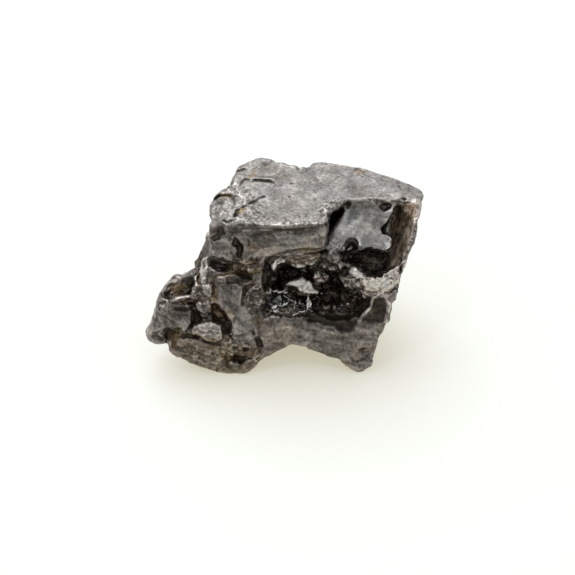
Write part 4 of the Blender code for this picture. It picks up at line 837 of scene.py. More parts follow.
# %% [markdown]
# ## The nugget's skin: crumbs and grain
# Broken metal is full of crumbs about a tenth of a millimetre across. They are chips of a
# Voronoi pattern, each tilted its own way, with a little noise. They are strong in the hollows
# and along the torn edges, and faint or missing on the worn faces. A fine grain lies under them.

# %% Crumbs and grain
outline_top_band = [(3.02, 7.12), (3.4, 7.15), (3.84, 6.4), (3.71, 6.28), (3.28, 6.78), (2.96, 6.96)]
CRUMBS = {  # height, softness of the edge, outline
    "top_left": (0.02, 0.2, [
        (2.5, 5.7), (3.4, 5.6), (4.6, 5.6), (4.4, 6.4), (3.9, 6.9), (3.3, 7.1), (2.6, 6.6)]),
    "front_edge": (0.01, 0.1, [(3.5, 5.56), (6.8, 5.62), (6.9, 6.1), (6.2, 5.9), (5.0, 5.8), (3.6, 5.9)]),
    "under_brow": (0.045, 0.12, [(2.6, 4.1), (3.6, 4.3), (4.5, 4.3), (4.4, 3.7), (2.8, 3.74)]),
    "hollow": (0.06, 0.12, [
        (4.4, 2.0), (4.4, 3.0), (5.0, 3.9), (6.4, 4.1), (7.0, 4.4), (7.7, 4.0), (8.2, 3.2), (8.3, 2.6),
        (7.8, 2.2), (6.4, 2.2)]),
    "ridge": (0.05, 0.12, [
        (7.6, 4.0), (8.1, 3.9), (8.4, 3.6), (9.0, 3.7), (9.6, 4.0), (9.5, 3.0), (8.3, 2.9), (7.7, 3.3)]),
    "mottled": (0.045, 0.1, [(3.8, 3.3), (4.4, 3.3), (4.4, 2.1), (4.0, 2.0), (3.8, 2.5)]),
    "lobe": (0.03, 0.12, [
        (1.7, 3.1), (2.2, 3.5), (2.7, 3.4), (2.74, 2.4), (2.9, 2.1), (2.4, 2.0), (1.9, 1.9), (1.8, 2.2)]),
    "chin": (0.022, 0.1, [(1.9, 1.9), (2.9, 1.9), (2.9, 1.2), (1.9, 1.2)]),
    "low_lobe": (0.04, 0.1, [(2.9, 1.3), (3.4, 1.3), (4.3, 0.9), (4.3, 0.4), (3.0, 0.4), (2.8, 1.0)]),
    "sole": (0.028, 0.15, outline_sole),
    "torn_corner": (0.03, 0.1, [(6.5, 5.8), (6.6, 6.3), (7.4, 6.6), (7.5, 6.3), (6.9, 6.1)]),
    "finger_tip": (0.03, 0.1, [(0.3, 1.5), (0.6, 1.6), (0.8, 1.3), (0.5, 1.2)]),
    "crest": (0.014, 0.1, [(0.5, 2.5), (0.6, 3.2), (1.1, 3.8), (1.3, 3.6), (0.9, 3.0), (0.9, 2.6)]),
    "plate_foot": (0.03, 0.1, [(6.8, 4.3), (6.8, 4.8), (7.4, 4.8), (7.4, 4.2)]),
    "chin_gaps": (0.035, 0.1, [(2.94, 1.74), (3.26, 1.66), (3.24, 1.14), (2.94, 1.14)]),
    "front_lip": (0.028, 0.06, [
        (3.5, 5.48), (5.0, 5.46), (6.8, 5.56), (6.8, 5.68), (5.0, 5.62), (3.5, 5.64)]),
    "roof": (0.035, 0.1, [(4.8, 4.0), (5.1, 4.4), (6.5, 4.46), (6.5, 4.1), (5.6, 3.96)]),
    "pit": (0.045, 0.1, outline_pit),
    "top_band": (0.035, 0.1, outline_top_band),
}
CHIPS = ((0.24, 0.8), (0.12, 0.45))  # size and share of the height
LUMP_LENGTH, LUMP_SHARE = 0.16, 0.3
GRAINS = ((0.13, 0.010), (0.085, 0.006))  # length and height
GRAIN_WHEN_UNSEEN = 0.6

crumble = np.zeros(len(skin.points))
for height, soft, outline in CRUMBS.values():
    crumble = np.maximum(crumble, skin.mark(outline, soft=soft) * height)
lumps, tone = LUMP_SHARE * skin.noise(LUMP_LENGTH, 31.0), np.zeros(len(skin.points))
for size, share in CHIPS:
    heights, numbers = skin.chips(size, 3.1, 0.6)
    lumps += heights * share
    tone += numbers * share
grain = sum(height * skin.noise(length, 3.0) for length, height in GRAINS)
unseen_grain = GRAIN_WHEN_UNSEEN + (1.0 - GRAIN_WHEN_UNSEEN) * np.clip(skin.seen, 0.0, 1.0)
skin.lift(lumps * crumble + grain * (1.0 - 0.8 * calm) * unseen_grain, 1.0)
skin.look_again()
print("crumbs up to", round(float((np.abs(lumps) * crumble).max()), 3), "high")

# %% [markdown]
# ## The nugget's skin: tiny pits
# A few thousand tiny round pits come last, all over, as small as the net can hold. A seeded
# generator picks the points that they are sunk at, more of them where the metal is rough. A tree
# of the points finds what lies near each of them quickly.

# %% Tiny pits
TINY_PITS, TINY_PIT_SIZE = 2200, (0.035, 0.09)
TINY_PIT_DEPTH = 0.45  # of its size
MOSTLY_SMALL = 2.5
CALM_CHANCE = 0.25  # of a pit on the calmest face, beside 1.25 on a rough one
CHIP_CONTRAST = 3.5  # how much brighter or darker a chip may be
GLITTER_CRUMBS = 0.05  # crumbs as high as this glitter fully

places = skin.points.tolist()
tree = kdtree.KDTree(len(places))
for number, place in enumerate(places):
    tree.insert(place, number)
tree.balance()
chance = np.random.default_rng(7)
likely = rough * (1.0 - calm) + CALM_CHANCE
sunk = np.zeros(len(skin.points))
picked = chance.choice(len(skin.points), TINY_PITS, replace=False, p=likely / likely.sum())
least, most = TINY_PIT_SIZE
sizes = least + (most - least) * chance.random(TINY_PITS) ** MOSTLY_SMALL
for point, size in zip(picked, sizes):
    for _, number, distance in tree.find_range(places[point], size):
        depth = TINY_PIT_DEPTH * size * (1.0 - (distance / size) ** 2)
        sunk[number] = max(sunk[number], depth)
skin.lift(-sunk, 1.0)
skin.look_again()
# Each chip gets a brightness of its own: partly tone that differs from chip to chip, partly painted glints.
chip_glints_and_tone = 2.0 ** (CHIP_CONTRAST * tone * np.clip(crumble / GLITTER_CRUMBS, 0.0, 1.0))
print(TINY_PITS, "tiny pits; chips are", np.round(np.percentile(chip_glints_and_tone, (1, 99)), 2).tolist(), "as bright")

# %% [markdown]
# ## The nugget's skin: finished piece
# The fine net has far more squares than the form needs on its flat faces. Collapsing edges thins
# it where it is flat and keeps it where it is rough, and leaves a mesh that other programs can
# open. Its foot is held on the table.

# %% Finished piece
SKIN_TRIANGLES = 192000

net_triangles = len(skin.mesh.loops) - 2 * len(skin.mesh.polygons)
nugget_mesh = with_modifier(skin.mesh, "DECIMATE", ratio=min(1.0, SKIN_TRIANGLES / net_triangles))
skin = Skin(nugget_mesh)
low_edge = skin.points[:, 2] < 0.0
skin.points[low_edge, 2] = 0.0
skin.look_again()
print(len(nugget_mesh.polygons), "triangles in the skin")

# %% [markdown]
# ## How bright the metal is: tone, painted light and painted shade
# The finish follows the form: edges are worn bright, and dents keep a dark film that is partly
# painted shade. How bright each part is gets stored on the points, for the material to read. One
# value for the whole nugget would leave it flat, so each part has its own, laid over the last one
# with a soft edge. These values hold the metal's own tone, and also painted highlights on faces
# that catch the light and painted shade in pits, hollows and under ledges. Metal that was drawn
# out has bright and dark streaks as well, and each chip of the crumbs has a brightness of its own.

# %% Shine of the skin
FINE_RELIEF, BROAD_RELIEF = 0.006, 0.05  # layout millimetres that count as fully proud or sunk
UNSEEN_SHINE_LIT_FROM_ABOVE = (0.12, 0.30)  # on a wall and on a top, where the viewer doesn't see: a top is painted lighter than a wall, as if lit from above
# how much darker the deepest broad hollows are painted: painted shade
CAVE_PAINTED_SHADE = 0.6
STREAK_SALT, STREAK_CONTRAST = 40.0, 1.6
BRIGHT_CHIP = 0.40  # a chip gets no brighter than this, unless its place already is
outline_whole_sole = [
    (1.0, 1.3), (2.0, 1.25), (2.9, 0.98), (4.2, 1.0), (4.4, 0.5), (3.8, -0.1), (2.6, -0.1), (1.0, 0.7)]
outline_side_crevice = [(2.38, 4.26), (2.62, 4.14), (2.92, 4.06), (2.94, 3.96), (2.7, 3.96), (2.42, 4.08)]
SHINE_WITH_PAINTED_LIGHT = {  # shine, with painted light and shade in it, softness of the edge, outline
    "brow": (0.125, 0.14, outline_brow),
    "top": (0.185, 0.1, outline_top),
    "block": (0.21, 0.12, [(2.5, 5.7), (3.3, 5.7), (3.3, 6.5), (2.7, 6.6), (2.5, 6.3)]),
    "top_bright": (0.17, 0.15, [(3.3, 6.3), (3.9, 6.4), (3.8, 6.9), (3.3, 7.0)]),
    "front_bright": (0.18, 0.12, [
        (3.5, 5.55), (6.6, 5.62), (6.8, 5.9), (5.4, 5.8), (4.6, 6.2), (3.7, 6.1)]),
    "brow_right": (0.21, 0.15, [(6.15, 4.75), (6.75, 4.75), (6.85, 5.5), (6.3, 5.45)]),
    "brow_left": (0.215, 0.15, [(2.4, 4.3), (3.3, 4.3), (3.3, 5.1), (2.6, 5.0)]),
    "side": (0.13, 0.2, [(1.9, 2.9), (2.5, 3.3), (2.5, 5.4), (2.0, 4.6)]),
    "fin": (0.33, 0.08, [(2.02, 3.8), (2.1, 4.3), (2.36, 4.4), (2.4, 3.6), (2.3, 3.3), (2.1, 3.4)]),
    "plate": (0.24, 0.1, outline_plate),
    "spur": (0.34, 0.06, [(8.95, 6.1), (9.3, 6.36), (9.4, 6.2), (9.1, 5.8)]),
    "wall": (0.21, 0.1, [
        (9.3, 6.4), (10.3, 6.3), (10.15, 5.6), (9.9, 4.8), (9.6, 4.0), (9.2, 4.1), (9.2, 4.6), (9.3, 5.5)]),
    "rim": (0.7, 0.05, [(10.14, 5.5), (10.2, 5.4), (9.9, 4.5), (9.7, 3.9), (9.6, 3.95), (9.9, 4.9)]),
    "pit": (0.2, 0.1, [
        (7.3, 4.55), (7.95, 4.6), (8.3, 4.75), (8.7, 4.66), (9.1, 4.52), (9.2, 4.1), (9.05, 3.78),
        (8.7, 3.6), (8.3, 3.62), (8.0, 3.95), (7.5, 4.1), (6.9, 3.5), (6.6, 4.3)]),
    "hollow": (0.13, 0.08, [
        (4.38, 2.05), (4.38, 3.4), (4.7, 4.18), (5.05, 4.5), (6.4, 4.55), (7.2, 4.2), (7.5, 3.6),
        (8.0, 3.1), (8.4, 2.8), (8.0, 2.0), (7.7, 1.7), (6.9, 1.8)]),
    "roof_of_hollow": (0.26, 0.08, [
        (4.75, 3.9), (4.85, 4.25), (5.2, 4.42), (6.2, 4.45), (6.5, 4.2), (5.95, 3.98), (5.4, 4.05),
        (5.0, 3.95)]),
    "pale_patch": (1, 0.02, outline_pale_patch),
    "curl": (0.8, 0.07, [(6.3, 3.4), (6.3, 3.7), (6.5, 3.8), (6.9, 3.66), (6.8, 3.4), (6.5, 3.3)]),
    "ridge": (0.56, 0.07, [
        (7.62, 3.95), (7.9, 3.94), (8.1, 3.75), (8.3, 3.56), (8.8, 3.55), (9.2, 3.72), (9.5, 4.0),
        (9.5, 3.4), (9.2, 3.1), (8.3, 3.1), (7.9, 3.5)]),
    "below_ridge": (0.66, 0.08, [(8.1, 3.12), (9.2, 3.12), (9.1, 2.88), (8.5, 2.9), (8.2, 2.8)]),
    "bridge": (0.155, 0.12, [
        (4.3, 1.95), (5.4, 2.0), (7.1, 1.58), (8.0, 1.9), (8.5, 1.9), (8.9, 1.8), (8.6, -0.2), (7.6, -0.2),
        (6.8, 0.5), (5.4, 1.0), (4.4, 0.3), (4.1, 1.2)]),
    "ramp": (0.034, 0.1, [
        (5.9, 1.96), (6.3, 1.88), (6.6, 1.8), (7.0, 1.72), (7.4, 1.54), (7.8, 1.58), (7.94, 1.92),
        (7.9, 2.3), (6.4, 2.4), (5.9, 2.16)]),
    "leg_oval": (0.075, 0.06, outline_leg_oval),
    "finger": (0.155, 0.12, [
        (-0.1, 1.5), (0.1, 1.1), (0.8, 1.0), (0.7, 1.8), (0.6, 2.4), (0.5, 2.9), (0.2, 2.2)]),
    "crest": (0.115, 0.08, [(0.5, 2.8), (0.7, 3.4), (1.0, 3.7), (1.3, 3.7), (1.0, 3.35), (0.76, 2.9)]),
    "crest_hollow": (0.12, 0.08, [
        (0.96, 2.95), (1.0, 3.35), (1.5, 3.55), (1.9, 3.5), (1.8, 3.1), (1.4, 2.9)]),
    "cheek": (0.1, 0.08, [(0.86, 1.65), (0.84, 2.5), (1.2, 2.75), (1.75, 2.6), (1.76, 1.8)]),
    "cheek_rim": (0.1, 0.05, [
        (0.92, 2.66), (1.0, 2.78), (1.3, 2.82), (1.5, 2.88), (1.46, 2.78), (1.16, 2.6)]),
    "flakes": (0.3, 0.06, [(2.2, 3.3), (2.54, 3.3), (2.5, 2.86), (2.36, 2.84), (2.16, 3.1)]),
    "lumps": (0.21, 0.08, [(1.95, 2.9), (2.3, 2.8), (2.44, 2.4), (2.2, 2.1), (2.0, 2.3)]),
    "chin": (0.3, 0.05, outline_chin),
    "tongue": (0.195, 0.08, [
        (2.8, 3.2), (3.7, 3.2), (3.66, 2.6), (3.95, 2.2), (4.0, 1.9), (4.1, 1.2), (3.9, 0.9), (3.3, 1.1),
        (3.25, 1.8), (3.2, 2.2), (2.8, 2.6)]),
    "mottled": (0.12, 0.08, [(3.84, 3.24), (4.36, 3.26), (4.36, 2.2), (4.0, 2.1), (3.82, 2.6)]),
    "eyelid": (0.052, 0.07, [(2.6, 3.4), (2.66, 3.56), (3.2, 3.66), (3.9, 3.62), (4.0, 3.4), (3.2, 3.3)]),
    "under_brow": (0.15, 0.1, [(2.5, 4.1), (3.0, 4.12), (4.3, 4.2), (4.3, 3.7), (3.6, 3.72), (2.6, 3.66)]),
    "sole": (0.175, 0.1, outline_whole_sole),
    "sole_island": (0.2, 0.06, [(3.16, 0.42), (3.44, 0.44), (3.5, 0.3), (3.3, 0.2), (3.18, 0.26)]),
    "brow_low": (0.255, 0.16, [
        (3.8, 4.3), (4.4, 4.3), (5.2, 4.55), (6.5, 4.68), (6.5, 5.1), (5.4, 5.0), (4.4, 4.65)]),
    "brow_top": (0.145, 0.08, [
        (3.45, 5.28), (3.5, 5.48), (4.4, 5.46), (6.2, 5.5), (6.3, 5.36), (5.0, 5.24)]),
    "brow_slot": (0.055, 0.07, [
        (3.34, 5.06), (3.44, 5.06), (3.56, 4.92), (3.68, 4.78), (3.7, 4.58), (3.66, 4.34), (3.52, 4.3),
        (3.44, 4.44), (3.46, 4.6), (3.4, 4.72), (3.26, 4.72), (3.24, 4.88)]),
    "brow_pit": (0.21, 0.12, [
        (2.46, 5.02), (2.56, 5.2), (2.7, 5.22), (2.76, 5.36), (2.9, 5.5), (3.0, 5.4), (3.0, 5.24),
        (2.86, 5.14), (2.76, 5.0), (2.6, 4.95)]),
    "brow_patch": (0.065, 0.1, [(5.04, 4.86), (5.4, 4.88), (5.44, 4.78), (5.1, 4.74)]),
    "side_ground": (0.105, 0.1, [(3.7, 4.24), (4.44, 4.26), (4.42, 3.8), (4.2, 3.66), (3.8, 3.8)]),
    "side_crevice": (0.6, 0.07, outline_side_crevice),
    "hollow_left": (0.045, 0.06, [
        (4.4, 3.2), (4.38, 3.56), (4.46, 3.98), (4.64, 4.12), (4.74, 3.84), (5.1, 3.6), (5.1, 3.2),
        (4.6, 3.12)]),
    "hollow_lip": (0.3, 0.05, [(4.18, 3.42), (4.34, 3.62), (4.44, 3.96), (4.38, 3.6), (4.34, 3.4)]),
    "cheek_top": (0.03, 0.07, [(1.06, 2.5), (1.86, 2.48), (1.9, 2.28), (1.1, 2.34)]),
    "cheek_low": (0.165, 0.1, [(1.2, 2.0), (1.7, 1.96), (1.68, 1.72), (1.3, 1.7)]),
    "cheek_gap": (0.21, 0.07, [
        (1.76, 2.46), (1.92, 2.44), (2.02, 2.1), (2.14, 1.94), (2.0, 1.78), (1.76, 1.76)]),
    "waist_gap": (0.16, 0.07, [
        (2.62, 1.96), (2.9, 2.2), (3.0, 2.08), (3.24, 1.94), (3.24, 1.72), (2.94, 1.8)]),
    "ledge": (0.28, 0.07, [(7.1, 3.62), (7.4, 3.66), (7.9, 3.48), (8.2, 3.34), (8.1, 3.22), (7.5, 3.42)]),
    "plate_foot": (0.14, 0.07, [(6.84, 4.26), (7.3, 4.22), (7.38, 4.46), (7.36, 4.7), (6.86, 4.7)]),
    "notch": (0.28, 0.06, [
        (7.46, 4.76), (7.52, 4.94), (7.66, 5.04), (7.86, 5.02), (7.96, 4.84), (7.98, 4.62), (7.84, 4.62),
        (7.8, 4.8), (7.66, 4.86), (7.56, 4.74)]),
    "notch_floor": (0.9, 0.05, outline_notch_floor),
    "leg_rim": (0.3, 0.035, [
        (8.0, 1.98), (8.2, 2.32), (8.42, 2.52), (8.48, 2.8), (8.66, 2.97), (9.02, 2.94), (9.2, 2.66),
        (9.19, 2.2), (9.04, 1.84), (9.0, 1.88), (9.1, 2.2), (9.1, 2.6), (8.98, 2.84), (8.7, 2.88),
        (8.56, 2.76), (8.5, 2.46), (8.28, 2.24), (8.06, 1.96)]),
    "pale_column": (0.95, 0.02, outline_pale_column),
    "roof_lump": (0.48, 0.03, outline_roof_lump),
    "roof_strip": (0.18, 0.05, [(5.1, 4.34), (5.16, 4.44), (5.8, 4.46), (5.7, 4.34), (5.4, 4.36)]),
    "roof_ledge": (0.58, 0.05, outline_roof_ledge),
    "finger_edge": (0.25, 0.1, [
        (0.0, 1.4), (0.1, 1.9), (0.34, 2.5), (0.44, 2.44), (0.24, 1.7), (0.2, 1.3)]),
    "finger_pit": (0.07, 0.08, outline_finger_pit),
    "wall_rim": (0.3, 0.03, [
        (10.06, 5.64), (9.97, 5.2), (9.78, 4.72), (9.56, 4.06), (9.62, 4.04), (9.84, 4.7), (10.03, 5.18),
        (10.12, 5.6)]),
    "crest_floor": (0.028, 0.08, [(1.0, 2.9), (1.1, 3.06), (1.5, 3.1), (1.6, 2.96), (1.4, 2.86)]),
    "crest_dark": (0.085, 0.08, [
        (0.8, 3.0), (0.9, 3.26), (1.2, 3.42), (1.3, 3.26), (1.06, 3.12), (0.96, 2.96)]),
    "grey_facet": (0.075, 0.08, outline_grey_facet),
    "slab_edge": (0.11, 0.04, [
        (1.16, 1.24), (1.24, 1.33), (1.8, 1.26), (2.4, 1.1), (2.9, 1.0), (2.3, 1.06), (1.7, 1.22)]),
    "wall_dark": (0.33, 0.12, [
        (9.18, 6.4), (9.44, 6.34), (9.46, 5.0), (9.3, 4.3), (9.1, 4.2), (9.22, 5.0)]),
    "leg_oval_foot": (0.042, 0.14, [(8.2, 2.04), (8.6, 2.0), (9.0, 2.1), (8.94, 1.84), (8.4, 1.84)]),
    "hollow_right": (0.085, 0.06, [
        (7.7, 2.9), (8.1, 2.8), (8.44, 2.8), (8.46, 2.52), (8.22, 2.3), (8.0, 2.0), (7.7, 1.9)]),
    "foot_pock": (0.36, 0.08, outline_foot_pock),
    "foot_pock_low": (0.135, 0.08, outline_foot_pock_low),
    "brow_slot_foot": (0.055, 0.12, [(3.2, 4.5), (3.6, 4.5), (3.64, 4.28), (3.3, 4.26)]),
    "brow_shade": (0.1, 0.2, [(3.99, 5.3), (4.8, 5.3), (4.8, 4.9), (4.4, 4.8), (4.0, 4.95)]),
    "spur_gap": (0.8, 0.05, outline_spur_gap),
    "plate_low": (0.165, 0.2, [(6.9, 5.3), (7.4, 5.4), (7.4, 4.9), (7.2, 4.6), (6.9, 4.6)]),
    "plate_blue": (0.15, 0.15, [(7.5, 6.1), (7.9, 6.3), (7.96, 5.8), (7.6, 5.6)]),
    "wall_top": (0.07, 0.1, [(9.7, 6.4), (10.26, 6.36), (10.24, 6.16), (9.7, 6.2)]),
    "wall_edge": (0.125, 0.04, [
        (10.24, 5.6), (10.18, 5.2), (10.0, 4.7), (9.78, 4.2), (9.68, 4.2), (9.88, 4.7), (10.06, 5.2),
        (10.14, 5.6)]),
    "eyelid_left": (0.09, 0.08, [(2.58, 3.46), (2.7, 3.58), (3.0, 3.6), (3.05, 3.36), (2.7, 3.3)]),
    "eyelid_top": (0.004, 0.06, [(3.2, 3.72), (3.4, 3.84), (4.0, 3.8), (4.12, 3.6), (3.8, 3.7)]),
    "eyelid_low": (0.065, 0.04, [(3.58, 3.32), (3.74, 3.38), (3.88, 3.46), (3.86, 3.38), (3.7, 3.3)]),
    "crest_black": (0.002, 0.05, [(0.76, 2.8), (0.8, 2.98), (0.96, 3.02), (0.98, 2.84), (0.9, 2.76)]),
    "under_ledge": (0.0005, 0.06, [(1.36, 2.68), (1.66, 2.76), (1.96, 2.68), (1.9, 2.5), (1.6, 2.56)]),
    "bridge_left": (0.26, 0.3, [(4.4, 1.8), (5.5, 1.8), (5.7, 1.2), (5.0, 1.1), (4.5, 0.8)]),
    "top_back_left": (0.165, 0.3, [(3.2, 7.3), (4.4, 7.5), (4.8, 8.2), (3.4, 8.2)]),
    "block_lights": (0.24, 0.06, [
        (2.7, 6.28), (3.0, 6.28), (3.08, 6.16), (3.3, 6.18), (3.34, 5.98), (3.06, 5.94), (2.72, 6.02)]),
    "eyelid_right": (0.006, 0.08, [(3.36, 3.74), (4.06, 3.72), (4.1, 3.46), (3.9, 3.44), (3.56, 3.56)]),
    "bridge_hole": (0.32, 0.04, outline_bridge_hole),
    "tongue_edge": (0.24, 0.05, [
        (3.66, 3.22), (3.8, 3.2), (3.78, 2.9), (3.76, 2.6), (3.64, 2.54), (3.66, 2.9)]),
    "chin_side": (0.52, 0.06, [
        (2.92, 1.7), (3.02, 1.72), (3.1, 1.5), (3.2, 1.4), (3.16, 1.26), (2.94, 1.26)]),
    "side_facet": (0.6, 0.06, [
        (9.02, 5.8), (9.24, 5.9), (9.3, 5.3), (9.16, 5.14), (9.0, 5.26), (8.94, 5.42)]),
    "top_notch": (0.15, 0.15, [(5.5, 7.6), (5.9, 7.8), (6.2, 7.7), (6.0, 7.35), (5.6, 7.3)]),
    "sole_nick": (0.03, 0.05, outline_sole_nick),
    "roof_mid": (0.14, 0.06, [(5.28, 4.26), (5.36, 4.34), (5.66, 4.24), (5.6, 4.1), (5.36, 4.06)]),
    "hollow_floor": (0.11, 0.1, [
        (6.5, 2.64), (7.4, 2.62), (8.0, 2.74), (8.2, 2.4), (7.8, 2.1), (6.6, 2.2), (6.36, 2.4)]),
    "wall_foot": (0.8, 0.08, [(9.02, 4.5), (9.14, 4.9), (9.36, 4.6), (9.4, 4.1), (9.1, 3.94), (8.98, 4.1)]),
    "brow_fold_dark": (0.09, 0.1, [(3.22, 5.47), (3.48, 5.45), (3.6, 5.24), (3.26, 5.2)]),
    "brow_ridge": (0.125, 0.08, [
        (2.98, 5.5), (3.1, 5.48), (3.24, 5.06), (3.4, 4.7), (3.44, 4.56), (3.34, 4.5), (3.14, 4.9),
        (3.02, 5.2)]),
    "brow_edge": (0.06, 0.05, [(4.8, 5.42), (5.96, 5.44), (5.96, 5.3), (4.8, 5.3)]),
    "brow_green": (0.148, 0.2, [(4.9, 5.12), (5.8, 5.15), (5.96, 4.9), (5.9, 4.72), (5.0, 4.78)]),
    "finger_black": (0.0045, 0.05, [(0.98, 1.26), (1.14, 1.16), (1.14, 1.02), (1.02, 0.96), (0.98, 1.1)]),
    "low_gap": (0.03, 0.04, outline_low_gap),
    "lump_left": (0.062, 0.07, [(1.66, 2.98), (2.08, 3.0), (2.12, 2.74), (1.9, 2.62), (1.64, 2.72)]),
    "finger_top": (0.14, 0.08, [(0.5, 2.7), (0.84, 2.72), (0.86, 2.4), (0.52, 2.36)]),
    "facet_top": (0.12, 0.07, [(1.5, 3.66), (1.66, 3.86), (2.0, 3.9), (1.98, 3.66), (1.8, 3.6)]),
    "side_band": (0.08, 0.06, [
        (2.2, 4.9), (2.36, 4.6), (2.1, 4.2), (1.95, 3.9), (1.8, 3.7), (1.72, 3.8), (1.8, 4.04), (2.0, 4.4),
        (2.12, 4.7)]),
    "top_band": (0.34, 0.1, outline_top_band),
    "block_gap": (0.21, 0.05, outline_block_gap),
    "chin_left": (0.24, 0.05, outline_chin_left),
}
outline_wall = [(9.25, 6.4), (10.3, 6.3), (10.0, 5.0), (9.5, 3.9), (9.1, 4.1), (9.3, 5.0)]
DRAWN = {  # stops brighter or darker, heading in degrees, width and length of a streak, outline
    "wall": (1.5, 74, 0.1, 0.6, outline_wall),
    "wall_wide": (1.2, 76, 0.22, 1.2, outline_wall),
    "plate": (0.3, 62, 0.16, 0.8, outline_plate),
    "tongue": (0.6, -60, 0.16, 0.7, outline_tongue),
    "brow": (0.6, 6, 0.2, 1.2, outline_brow),
    "finger": (0.5, 70, 0.12, 0.7, [(-0.2, 1.3), (0.7, 1.1), (0.9, 1.8), (0.9, 2.6), (0.5, 3.0)]),
    "sole": (0.6, -16, 0.14, 0.7, outline_sole),
    "bridge": (0.6, -14, 0.18, 1.0, outline_bridge),
}


def store(mesh, name, values):
    """Keeps one number for each point of the mesh."""
    attribute = mesh.attributes.new(name, "FLOAT", "POINT")
    attribute.data.foreach_set("value", values.astype(np.float32))


facing_up = np.clip(skin.normals[:, 2], 0.0, 1.0)
shaded_wall_shine, lit_top_shine = UNSEEN_SHINE_LIT_FROM_ABOVE
fine, broad = skin.relief(3), skin.relief(40)
cave = np.clip(-broad / BROAD_RELIEF, 0.0, 1.0)
# Where the viewer doesn't see, faces that turn up get more shine than walls: painted light from above.
unseen_lit_from_above = shaded_wall_shine + (lit_top_shine - shaded_wall_shine) * smooth_share(facing_up * 1.3 - 0.2)
# Broad hollows are painted darker here: painted shade.
shine = painted(skin, unseen_lit_from_above * (1.0 - CAVE_PAINTED_SHADE * cave), SHINE_WITH_PAINTED_LIGHT)
for number, (stops, heading, width, length, outline) in enumerate(DRAWN.values()):
    streak = skin.streaks(heading, width, length, STREAK_SALT + number)
    shine *= 2.0 ** (stops * skin.mark(outline, soft=0.15) * streak * STREAK_CONTRAST)
chip_glint_tone = np.array([chip_glints_and_tone[tree.find(place)[1]] for place in skin.points.tolist()])
store(nugget_mesh, "shine", np.minimum(shine * chip_glint_tone, np.maximum(shine, BRIGHT_CHIP)))
print("shine", np.round(np.percentile(shine, (2, 50, 98)), 3).tolist())

# %% [markdown]
# ## Painted highlights, bare faces and rust
# A few small faces, most in the hollows and on the bright ridge, are painted pale and dull: painted
# highlights, for faces that catch the light. Bare crystal faces of the metal look a little bluish
# beside the grey film. Brown iron oxide sits in the deepest crevices, and most of all on the left
# lobe. Last come how far each point stands proud or sunk, measured against the skin smoothed a
# little and smoothed a lot.

# %% Painted highlights, bare faces, rust and relief
CAVE_STAIN, LOBE_STAIN = 0.35, 0.75
PAINTED_HIGHLIGHTS = {  # how much painted highlight, softness of the edge, outline
    "pale_patch": (1, 0.015, outline_pale_patch),
    "pale_column": (1, 0.02, outline_pale_column),
    "roof_lump": (0.5, 0.03, [(4.75, 4.03), (4.77, 3.85), (4.86, 3.85), (4.97, 4.03), (4.9, 4.16)]),
    "roof_strip": (0.1, 0.05, [(5.1, 4.36), (5.16, 4.44), (5.6, 4.45), (5.78, 4.42), (5.5, 4.36)]),
    "roof_ledge": (0.55, 0.05, [(5.56, 4.0), (5.72, 4.07), (5.98, 4.03), (5.94, 3.93), (5.66, 3.93)]),
    "curl": (0.42, 0.06, [(6.3, 3.56), (6.42, 3.74), (6.7, 3.72), (6.9, 3.52), (6.6, 3.6)]),
    "ridge_knob": (0.75, 0.08, [
        (7.66, 3.8), (7.74, 3.96), (7.94, 3.94), (8.12, 3.72), (8.2, 3.56), (7.9, 3.64)]),
    "ridge_face": (0.6, 0.08, [(8.2, 3.46), (8.8, 3.5), (9.2, 3.66), (9.2, 3.2), (8.4, 3.2)]),
    "patch_arm": (0.45, 0.02, outline_patch_arm),
    "knob": (0.3, 0.05, [(3.12, 2.22), (3.26, 2.24), (3.36, 2.14), (3.28, 2.02), (3.14, 2.04)]),
}
COOL = {  # how bare and bluish, softness of the edge, outline
    "plate": (0.45, 0.12, outline_plate),
    "ramp": (0.4, 0.12, [(6.4, 1.9), (7.1, 1.65), (7.7, 1.6), (7.9, 1.95), (7.8, 2.3), (6.4, 2.4)]),
    "tongue": (0.15, 0.2, [(3.5, 2.4), (4.0, 2.3), (4.1, 1.5), (3.4, 1.5)]),
    "cheek": (0.25, 0.15, [(0.9, 1.7), (1.0, 2.5), (1.7, 2.4), (1.7, 1.8)]),
    "crest": (0.5, 0.12, [(1.4, 3.6), (1.9, 3.8), (1.9, 3.4), (1.5, 3.4)]),
    "top": (0.3, 0.2, outline_top),
    "plate_low": (0.5, 0.2, [
        (6.9, 5.3), (7.3, 5.1), (7.5, 5.1), (8.0, 4.9), (9.1, 5.2), (9.2, 4.6), (8.8, 4.4), (8.2, 4.6),
        (7.2, 4.4), (6.8, 4.5)]),
    "brow_green": (0.2, 0.2, [(4.8, 5.15), (5.96, 5.15), (5.96, 4.7), (4.9, 4.75)]),
    "fin": (0.15, 0.1, [
        (2.3, 4.5), (2.42, 4.46), (2.4, 4.0), (2.36, 3.3), (2.1, 3.3), (2.0, 3.7), (2.1, 4.2)]),
    "plate_beige": (0.3, 0.1, [
        (8.12, 6.01), (8.54, 6.38), (8.92, 5.78), (8.68, 5.31), (8.26, 5.17), (7.79, 5.31)]),
    "plate_left": (0.6, 0.1, [(7.4, 5.6), (7.7, 6.2), (7.9, 6.3), (8.06, 6.0), (7.76, 5.4)]),
}
